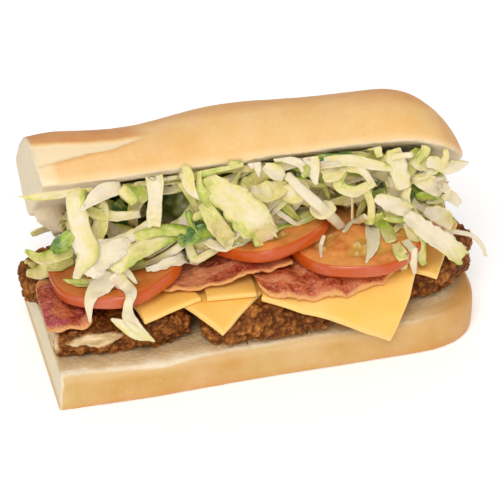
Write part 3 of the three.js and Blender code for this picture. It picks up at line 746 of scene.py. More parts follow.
def block_faces(rings, segments):
    low = (rings - 1) * segments
    high = low + 1
    last = (rings - 2) * segments
    faces = []
    for i in range(segments):
        after = (i + 1) % segments
        faces.append((low, after, i))
        faces.append((last + i, last + after, high))
        for ring in range(rings - 2):
            a, b = ring * segments + i, ring * segments + after
            faces.append((a, b, b + segments, a + segments))
    return faces


def tender_skin(start, end, front, back, cut=False, undercut=0, square=0.62, rings=48, segments=96):
    """Points and faces of one piece before its breading."""
    bottom, top = HEEL_HEIGHT + GAP, BED_Z - 0.1
    middle = np.array([(start + end) / 2, (front + back) / 2, (bottom + top) / 2])
    reach = np.array([(end - start) / 2 - 1.5, (back - front) / 2 - 1.2, (top - bottom) / 2 + 0.9])
    direction = rounded_block(square, rings, segments)
    raw = middle + direction * reach
    outward = direction / np.linalg.norm(direction, axis=1, keepdims=True)
    swell = 1.5 * lumps(*raw.T)
    points = raw + outward * swell[:, None]
    points[:, 1] += undercut * np.clip(-direction[:, 1], 0, None) * (1 - direction[:, 2]) / 2
    points[:, 2] = np.clip(points[:, 2], bottom, np.minimum(top, shoulder_top(points[:, 1]) - 0.4))
    if cut:
        points[:, 0] = np.maximum(points[:, 0], CUT_X)
    return points, block_faces(rings, segments)


def chicken_material(settings):
    fried = Paint("fried_breading")
    crag = fried.attribute("crag")
    meat = fried.attribute("meat")
    crumbs = fried.noise(1.3, 5, 0.7)
    patches = fried.noise(9, 3)
    # Painted shade and light by crag height: crevices run down to a darker copy of the crevice colour and
    # tips run up to the golden colour, with random crumbs and patches mixed in
    tone = fried.maths("ADD", fried.level(crag, 0, 1, 0.16, 0.8), fried.level(crumbs, 0.3, 0.7, -0.34, 0.34))
    tone = fried.maths("ADD", tone, fried.level(patches, 0.3, 0.7, -0.16, 0.14))
    colour = fried.ramp(tone, [
        (0.0, tuple(0.7 * c for c in settings.crevice_shade)), (0.25, settings.crevice_shade),
        (0.55, settings.breading), (0.95, settings.golden_and_lit_tips),
    ])
    fibres = fried.noise(2.4, 4, 0.6, stretch=(0.35, 1, 1.6))
    dark_meat = tuple(c * share for c, share in zip(settings.meat, (0.62, 0.5, 0.36)))
    flesh = fried.mix(fried.level(fibres, 0.36, 0.62), dark_meat, settings.meat)
    colour = fried.mix(meat, colour, flesh)
    normal = fried.bump(crumbs, 0.55, 0.7)
    rough = fried.level(crumbs, 0.3, 0.7, 0.5, 0.68)
    return fried.set(Base_Color=colour, Roughness=rough, Normal=normal, Specular_IOR_Level=0.18,
                     Subsurface_Weight=0.08, Subsurface_Radius=(0.003, 0.0012, 0.0006))


def meat_share(points):
    """Where meat shows: on the knife cut and where the breading tore off beside it."""
    cut = smoothstep(-points[:, 0], -CUT_X - 1.0, -CUT_X - 0.4)
    cut = cut * smoothstep(clouds(points, 7, 71, 2) + 0.12 * (points[:, 2] - 20), -0.3, 0.25)
    torn = np.linalg.norm((points - TORN_MIDDLE) / TORN_REACH, axis=1) + 0.3 * clouds(points, 5, 2, 2)
    return np.maximum(cut, 1 - smoothstep(torn, 0.75, 1.0))


def crag_share(points, seed):
    """The breading's relief from 0 to 1: clumps, crumbs on them and grains on those."""
    warped = points + 1.8 * np.stack([clouds(points, 5, seed + k, 2) for k in range(3)], -1)
    near, far = cells(warped, CLUMP_SIZE, seed)
    small_near, small_far = cells(warped, CRUMB_SIZE, seed + 4)
    tiny, _ = cells(points, GRAIN_SIZE, seed + 6)
    clump = smoothstep(far - near, 0.0, 0.4)
    crumbs = smoothstep(small_far - small_near, 0.0, 0.5)
    grains = 1 - smoothstep(tiny, 0.15, 0.7)
    return 0.45 * clump + 0.3 * crumbs + 0.2 * grains + 0.12 * clouds(points, 3, seed + 8, 2)


def breaded(name, skin, settings):
    piece = mesh_object(name + "_breaded", *tender_skin(**skin))
    remeshed(piece, settings.grain / MM)
    points, normals = points_of(piece), normals_of(piece)
    crag = crag_share(points, len(name))
    meat = meat_share(points) if skin.get("cut") else np.zeros(len(points))
    relief = settings.crag / MM * (crag - 0.6) * (1 - 0.8 * meat)
    exposed = smoothstep(shoulder_top(points[:, 1]) - points[:, 2], 0.3, 3)
    relief = np.where(relief > 0, relief * exposed, relief) + 0.5 * exposed
    moved = points + normals * relief[:, None]
    moved[:, 2] = np.maximum(moved[:, 2], HEEL_HEIGHT + 0.1)
    move_points(piece, moved)
    paint(piece, "crag", np.clip(crag, 0, 1))
    paint(piece, "meat", meat)
    return piece


class SUB_OT_chicken(bpy.types.Operator):
    """Pieces of breaded chicken with deep crags"""
    bl_idname = "sub.chicken"
    bl_label = "Chicken"

    def execute(self, context):
        settings = context.scene.sub_chicken
        material = chicken_material(settings)
        for name, skin in TENDERS.items():
            finish_piece(breaded(name, skin, settings), [name], material)
        return {"FINISHED"}


# Slices that lie on the chicken and roll over its front shoulder

LOWER_LIFT = GAP
UPPER_LIFT = LOWER_LIFT + CHEESE_THICKNESS + GAP
BACON_LIFT = UPPER_LIFT + CHEESE_THICKNESS + GAP
SLICE_GRID = 56


def drape(x, reach, lift, bend):
    """A point of a slice: reach is how far it lies in front of the shoulder."""
    radius = SHOULDER_RADIUS + lift
    angle = np.clip(reach / radius, 0, bend)
    rest = reach - radius * angle
    return np.stack([
        x,
        SHOULDER_Y - radius * np.sin(angle) - rest * np.cos(angle),
        BED_Z + lift - radius * (1 - np.cos(angle)) - rest * np.sin(angle),
    ], -1)


class CheeseSettings(bpy.types.PropertyGroup):
    thickness: size_property("Thickness", "Thickness of a slice", CHEESE_THICKNESS)
    body: colour_property("Cheese", "Body of a slice", srgb(250, 194, 92))
    edge: colour_property("Edge", "Cut edge of a slice", srgb(253, 211, 132))


CHEESES = {
    "cheese_lower_middle": {
        "corner": (-24.8, 16.6), "turn": 50.7, "left": 46, "right": 40, "lift": LOWER_LIFT, "bend": 0.6,
    },
    "cheese_far_right": {"corner": (62, 7), "turn": 31, "left": 56, "right": 39, "lift": LOWER_LIFT},
    "cheese_upper_left": {"corner": (-30, 3), "turn": -16, "left": 24, "right": 44, "lift": UPPER_LIFT},
    "cheese_upper_middle": {"corner": (-9, 5), "turn": 4, "left": 19, "right": 46, "lift": UPPER_LIFT},
    "cheese_right": {
        "corner": (40.5, 31.3), "turn": 26.5, "left": 54, "right": 46, "lift": UPPER_LIFT, "bend": 1.47,
    },
}


def cheese_material(settings):
    waxy = Paint("cheese_slice")
    broad = waxy.noise(16, 2)
    fine = waxy.noise(0.8, 3)
    rim = waxy.attribute("rim")
    colour = waxy.mix(waxy.level(broad, 0.35, 0.7, 0, 0.35), settings.body, settings.edge)
    colour = waxy.mix(waxy.level(rim, 0, 1, 0, 0.5), colour, settings.edge)
    normal = waxy.bump(broad, 0.5, 0.25)
    normal = waxy.bump(fine, 0.06, 0.4, normal)
    rough = waxy.level(broad, 0.3, 0.7, 0.32, 0.45)
    return waxy.set(Base_Color=colour, Roughness=rough, Normal=normal, Subsurface_Weight=0.35,
                    Subsurface_Radius=(0.006, 0.003, 0.001), Specular_IOR_Level=0.45)


def to_rim(u, v, left, right):
    """Distance from a place on a slice to its nearest edge."""
    return np.minimum(np.minimum(u, 1 - u) * left, np.minimum(v, 1 - v) * right)


def soften_rim(piece, width):
    """Rounds the sharp edges of a slice."""
    bevel = piece.modifiers.new("soft rim", "BEVEL")
    bevel.width = width * MM
    bevel.segments = 2
    bevel.angle_limit = math.radians(50)
    apply_modifiers(piece)


def cheese_slice(name, settings, corner, turn, left, right, lift, bend=1.3):
    angle = math.radians(turn)
    seed = len(name)

    def place(u, v, height):
        x = corner[0] - left * u * math.cos(angle) + right * v * math.sin(angle)
        reach = corner[1] - left * u * math.sin(angle) - right * v * math.cos(angle)
        flat = np.stack([x, reach, np.zeros_like(x)], -1)
        curl = 0.9 * smoothstep(reach, 2, 16) * clouds(flat, 17, seed)
        edge = 1 - smoothstep(to_rim(u, v, left, right), 0, 1.2)
        wander = 0.25 * clouds(flat, 7, seed + 3) * edge
        thin = 0.25 * edge * (1 if height == 0 else -1)
        return drape(x + wander, reach + wander, lift + height + thin + np.maximum(curl, -0.1), bend)

    points, faces, where = sheet(place, SLICE_GRID, SLICE_GRID, settings.thickness / MM)
    piece = mesh_object(name + "_slice", points, faces)
    paint(piece, "rim", 1 - smoothstep(to_rim(where[:, 0], where[:, 1], left, right), 0, 1.0))
    soften_rim(piece, 0.35)
    return piece


class SUB_OT_cheese(bpy.types.Operator):
    """Square cheese slices whose corners hang out over the chicken"""
    bl_idname = "sub.cheese"
    bl_label = "Cheese"

    def execute(self, context):
        settings = context.scene.sub_cheese
        material = cheese_material(settings)
        for name, shape in CHEESES.items():
            finish_piece(cheese_slice(name, settings, **shape), [name], material)
        return {"FINISHED"}


# Bacon

class BaconSettings(bpy.types.PropertyGroup):
    thickness: size_property("Thickness", "Thickness of a rasher", BACON_THICKNESS)
    lean: colour_property("Lean", "Cured lean meat", srgb(204, 106, 62))
    dark: colour_property("Dark lean", "Browned lean meat", srgb(156, 54, 26))
    fat: colour_property("Fat", "Pale fat along the rim", srgb(232, 168, 98))
    pink: colour_property("Pink fat", "Fat streaked through the meat", srgb(230, 150, 104))
    cold: colour_property("Uncooked lean", "Rosy lean where the rasher stayed soft", srgb(184, 72, 92))


RIPPLE = 0.7
RASHER_BEND = 1.2
LONG_RASHER_GRID = 110
SHORT_RASHER_GRID = 64

BACONS = {
    "bacon_left": {"start": -88, "end": -71, "reach": 2, "width": 34, "bow": 4, "lift": GAP, "rosy": 1.0},
    "bacon_middle": {
        "start": -43, "end": 7, "reach": -2, "width": 30, "bow": 2.5, "lift": BACON_LIFT, "climb": 3.3,
        "rosy": 0.3,
    },
    "bacon_right": {"start": -8, "end": 46, "reach": 3, "width": 24, "bow": 11, "lift": BACON_LIFT},
}


def bacon_material(settings):
    cured = Paint("cured_bacon")
    fat = cured.attribute("fat")
    streak = cured.attribute("streak")
    rosy = cured.attribute("rosy")
    mottle = cured.noise(3.2, 5, 0.65)
    fine = cured.noise(1.0, 4, 0.65)
    lean = cured.mix(rosy, settings.lean, settings.cold)
    colour = cured.mix(cured.level(mottle, 0.42, 0.56), settings.dark, lean)
    colour = cured.mix(cured.level(streak, 0.44, 0.62, 0, 0.9), colour, settings.pink)
    colour = cured.mix(cured.level(fine, 0.52, 0.64, 0, 0.75), colour, settings.pink)
    colour = cured.mix(cured.level(fine, 0.46, 0.34, 0, 0.65), colour, settings.dark)
    colour = cured.mix(fat, colour, settings.fat)
    crinkle = cured.noise(4.5, 2, 0.5)
    normal = cured.bump(crinkle, 0.8, 1.6)
    normal = cured.bump(mottle, 0.6, 0.8, normal)
    normal = cured.bump(fine, 0.5, 0.5, normal)
    rough = cured.level(mottle, 0.3, 0.7, 0.34, 0.54)
    return cured.set(Base_Color=colour, Roughness=rough, Normal=normal, Subsurface_Weight=0.2,
                     Subsurface_Radius=(0.004, 0.0015, 0.001), Specular_IOR_Level=0.5)


def paint_rasher(piece, flat, width, seed, rosy):
    """Fat along the front rim and at the back, streaks through the meat and rosy patches."""
    across = flat[:, 1]
    rim = 0.9 - 0.9 * smoothstep(across + 1.7 * clouds(flat, 6, seed + 7, 2), 0.5, 2.3)
    back = smoothstep(across + 2 * clouds(flat, 9, seed + 9), width - 4, width - 1)
    bands = 1.25 * clouds(flat * [0.3, 1, 1], 4.5, seed + 11, 3)
    soft = rosy * smoothstep(clouds(flat, 8, seed + 13, 2), -0.45, 0.2)
    paint(piece, "fat", np.clip(np.maximum(rim, back), 0, 1))
    paint(piece, "streak", 0.5 + 0.5 * bands - 0.18 * soft)
    paint(piece, "rosy", soft)


def rasher(name, settings, start, end, reach, width, bow, lift, climb=0.0, rosy=0.0):
    seed = 3 * len(name)

    def relief(x, v, flat):
        """Waves along the rasher, crimps along its front rim and bubbles all over."""
        wave = RIPPLE * (np.sin(x * 0.45 + v * 2) + 0.4 * np.sin(x * 0.95 + v * 5)) / 1.4
        crimp = 0.55 * clouds(flat * [1, 0.3, 1], 2.6, seed + 2, 2) * (1 - smoothstep(v, 0.05, 0.4))
        return wave, crimp, 0.45 * clouds(flat, 2.8, seed + 5, 2)

    def place(u, v, height):
        x = start + (end - start) * u
        step = climb * smoothstep(u, 0.35, 0.65)
        arch = np.sqrt(np.clip(1 - (2 * u - 1) ** 2, 0, 1))
        taper = 0.6 + 0.4 * np.sqrt(np.clip(1 - (2 * u - 1) ** 4, 0, 1))
        flat = np.stack([x, v * width, np.zeros_like(x)], -1)
        torn = 1.1 * clouds(flat, 5, seed, 3) + 0.35 * clouds(flat, 1.4, seed + 1)
        out = reach + bow * arch + torn * (1 - smoothstep(v, 0, 0.12)) - width * v * taper
        wave, crimp, bubbles = relief(x, v, flat)
        rim = 1 - smoothstep(np.minimum(v, 1 - v) * width, 0, 1.0)
        thin = 0.35 * rim * (1 if height == 0 else -1)
        return drape(x, out, lift + step + RIPPLE + wave + crimp + bubbles + height + thin, RASHER_BEND)

    columns = LONG_RASHER_GRID if end - start > 30 else SHORT_RASHER_GRID
    points, faces, where = sheet(place, columns, SLICE_GRID, settings.thickness / MM)
    piece = mesh_object(name + "_rasher", points, faces)
    flat = np.stack([start + (end - start) * where[:, 0], where[:, 1] * width, np.zeros(len(where))], -1)
    paint_rasher(piece, flat, width, seed, rosy)
    return piece


class SUB_OT_bacon(bpy.types.Operator):
    """Rippled rashers with a pale fat rim"""
    bl_idname = "sub.bacon"
    bl_label = "Bacon"

    def execute(self, context):
        settings = context.scene.sub_bacon
        material = bacon_material(settings)
        for name, shape in BACONS.items():
            finish_piece(rasher(name, settings, **shape), [name], material)
        return {"FINISHED"}


# Tomato

class TomatoSettings(bpy.types.PropertyGroup):
    thickness: size_property("Thickness", "Thickness of a slice", TOMATO_THICKNESS)
    skin: colour_property("Skin", "Glossy skin round the rim", srgb(196, 84, 20))
    flesh: colour_property("Flesh", "Firm outer flesh", srgb(228, 154, 82))
    gel: colour_property("Gel", "Wet gel round the seeds", srgb(218, 166, 78))
    seed: colour_property("Seed", "Seeds", srgb(236, 200, 130))


TOMATOES = {
    "tomato_left": {
        "x": -58, "y": -10.5, "floor": 38.7, "climb": 0.12, "pitch": 0.0, "radius": 25.5, "seed": 3,
        "ripe": 0.6,
    },
    "tomato_middle": {
        "x": 2.5, "y": -6.5, "floor": 46.9, "climb": 0.18, "pitch": 0.0, "radius": 25, "seed": 5,
        "ripe": 0.25,
    },
    "tomato_right": {
        "x": 34, "y": -16, "floor": 42.9, "climb": 0.06, "pitch": 0.08, "radius": 28, "seed": 8,
    },
    "tomato_far_right": {
        "x": 54, "y": 6, "floor": 36.8, "climb": 0.0, "pitch": 0.0, "radius": 24, "seed": 9,
    },
}
CHAMBERS = 6
SEEDS_TO_A_CHAMBER = 7
SLICE_SPOKES = 168
RIM_ROUNDING = 1.4
RIM_DROP = 1.1


def tomato_material(settings):
    wet = Paint("tomato_slice")
    skin = wet.attribute("skin")
    gel = wet.attribute("gel")
    seeds = wet.attribute("seeds")
    mottle = wet.noise(3.5, 3)
    pale_flesh = tuple(min(1, 1.25 * c) for c in settings.flesh)
    blush = wet.mix(wet.level(wet.noise(11, 2), 0.42, 0.66, 0, 0.6), settings.flesh, settings.skin)
    colour = wet.mix(wet.level(mottle, 0.35, 0.7, 0, 0.7), blush, pale_flesh)
    colour = wet.mix(wet.attribute("ripe"), colour, settings.skin)
    colour = wet.mix(gel, colour, settings.gel)
    colour = wet.mix(seeds, colour, settings.seed)
    pink_skin = tuple(c + 0.12 * (1 - c) for c in settings.skin)
    rind = wet.mix(wet.level(wet.noise(16, 2), 0.5, 0.75, 0, 0.6), settings.skin, pink_skin)
    colour = wet.mix(skin, colour, rind)
    normal = wet.bump(mottle, 0.3, 0.3)
    rough = wet.level(skin, 0, 1, 0.22, 0.16)
    return wet.set(Base_Color=colour, Roughness=rough, Normal=normal, Subsurface_Weight=0.4,
                   Subsurface_Radius=(0.008, 0.002, 0.001), Specular_IOR_Level=0.42)


def slice_profile(radius, half):
    """Half section of a slice: out over its top, round its rim and back to the middle of its base."""
    inner = np.linspace(0.02, 1, 46) * (radius - RIM_ROUNDING)
    top = [(r, half) for r in inner]
    shoulder = []
    for a in np.linspace(1.4, 0, 5):
        out = radius - RIM_ROUNDING + RIM_ROUNDING * math.cos(a)
        shoulder.append((out, (half - RIM_DROP) + RIM_DROP * math.sin(a)))
    wall = [(radius + 0.15, z) for z in np.linspace(half - 1.6, -half + 1.6, 4)]
    foot = [(r, -z) for r, z in reversed(shoulder)]
    base = [(r, -half) for r in inner[::-6]]
    return np.array(top + shoulder + wall + foot + base)


def turned_faces(rings, spokes):
    """Faces of a skin turned on a lathe, with a cap at each end."""
    faces = []
    for ring in range(rings - 1):
        for i in range(spokes):
            p, q = ring * spokes + i, ring * spokes + (i + 1) % spokes
            faces.append((p, p + spokes, q + spokes, q))
    faces.append(tuple(range(spokes)))
    faces.append(tuple(range(rings * spokes - 1, (rings - 1) * spokes - 1, -1)))
    return faces


def gel_share(share, angle, seed):
    """Where gel fills the chambers, between the walls of flesh."""
    sector = (angle / TAU * CHAMBERS + 0.12 * np.sin(3 * angle + seed)) % 1
    wall = 0.2 / np.clip(share, 0.25, 1) * 0.5
    across = smoothstep(sector, wall, wall + 0.16) * smoothstep(1 - sector, wall, wall + 0.16)
    along = smoothstep(share, 0.24, 0.36) * (1 - smoothstep(share, 0.7, 0.82))
    return across * along


def seed_share(flat, radius, gel, seed):
    """Where seeds lie in the gel, each drawn out towards the rim."""
    draw = random.Random(seed)
    seeds = np.zeros(len(flat))
    for chamber in range(CHAMBERS):
        for _ in range(SEEDS_TO_A_CHAMBER):
            turn = TAU * (chamber + draw.uniform(0.25, 0.75)) / CHAMBERS
            outward = np.array([math.cos(turn), math.sin(turn), 0])
            offset = flat - radius * draw.uniform(0.36, 0.7) * outward
            stretched = offset - outward * (offset @ outward)[:, None] * 0.45
            seeds = np.maximum(seeds, (1 - smoothstep(np.linalg.norm(stretched, axis=1), 0.5, 1.1)) * gel)
    return seeds


def tomato_slice(name, settings, x, y, floor, climb, pitch, radius, seed, ripe=0.0):
    half = settings.thickness / MM / 2
    profile = slice_profile(radius, half)
    r = np.repeat(profile[:, 0], SLICE_SPOKES)
    a = np.tile(TAU * np.arange(SLICE_SPOKES) / SLICE_SPOKES, len(profile))
    height = np.repeat(profile[:, 1], SLICE_SPOKES)
    upper = height > half - 0.1
    share = r / radius
    flat = np.stack([r * np.cos(a), r * np.sin(a), np.zeros_like(r)], -1)
    gel = gel_share(share, a, seed) * upper
    seeds = seed_share(flat, radius, gel, seed)
    height = height - 0.7 * gel + 0.7 * seeds + 0.12 * clouds(flat, 3, seed) * upper
    lobes = 1 + 0.018 * np.cos(CHAMBERS * a + seed) + 0.012 * np.cos(2 * a + seed)
    points = np.stack([r * lobes * np.cos(a), r * lobes * np.sin(a), height], -1)
    turn = Matrix.Rotation(math.atan(pitch), 3, "X") @ Matrix.Rotation(-math.atan(climb), 3, "Y")
    points = points @ np.array(turn).T + [x, y, floor + half]
    piece = mesh_object(name + "_cut", points, turned_faces(len(profile), SLICE_SPOKES))
    paint(piece, "skin", smoothstep(share, 0.955, 0.985))
    paint(piece, "gel", gel * (0.9 - 0.6 * ripe))
    paint(piece, "ripe", np.full(len(points), ripe))
    paint(piece, "seeds", seeds)
    return piece


class SUB_OT_tomato(bpy.types.Operator):
    """Tomato slices with skin, flesh, gel and seeds"""
    bl_idname = "sub.tomato"
    bl_label = "Tomato"

    def execute(self, context):
        settings = context.scene.sub_tomato
        material = tomato_material(settings)
        for name, shape in TOMATOES.items():
            finish_piece(tomato_slice(name, settings, **shape), [name], material)
        return {"FINISHED"}


# Lettuce

class LettuceSettings(bpy.types.PropertyGroup):
    thickness: size_property("Thickness", "Thickness of a shred", 0.65)
    loose: IntProperty(
        name="Loose shreds", description="Shreds scattered over the face of the heap", default=190, min=0,
    )
    rib: colour_property("Rib", "White rib of a leaf", srgb(232, 219, 190))
    pale: colour_property("Pale leaf", "Cream-yellow inner leaf", srgb(226, 212, 138))
    lime: colour_property("Lime leaf", "Green leaf", srgb(172, 188, 68))
    green: colour_property("Dark leaf", "Dark green outer leaf", srgb(68, 110, 38))


def shred(path, widths, tones, **looks):
    return {"path": path, "widths": widths, "tones": tones, **looks}


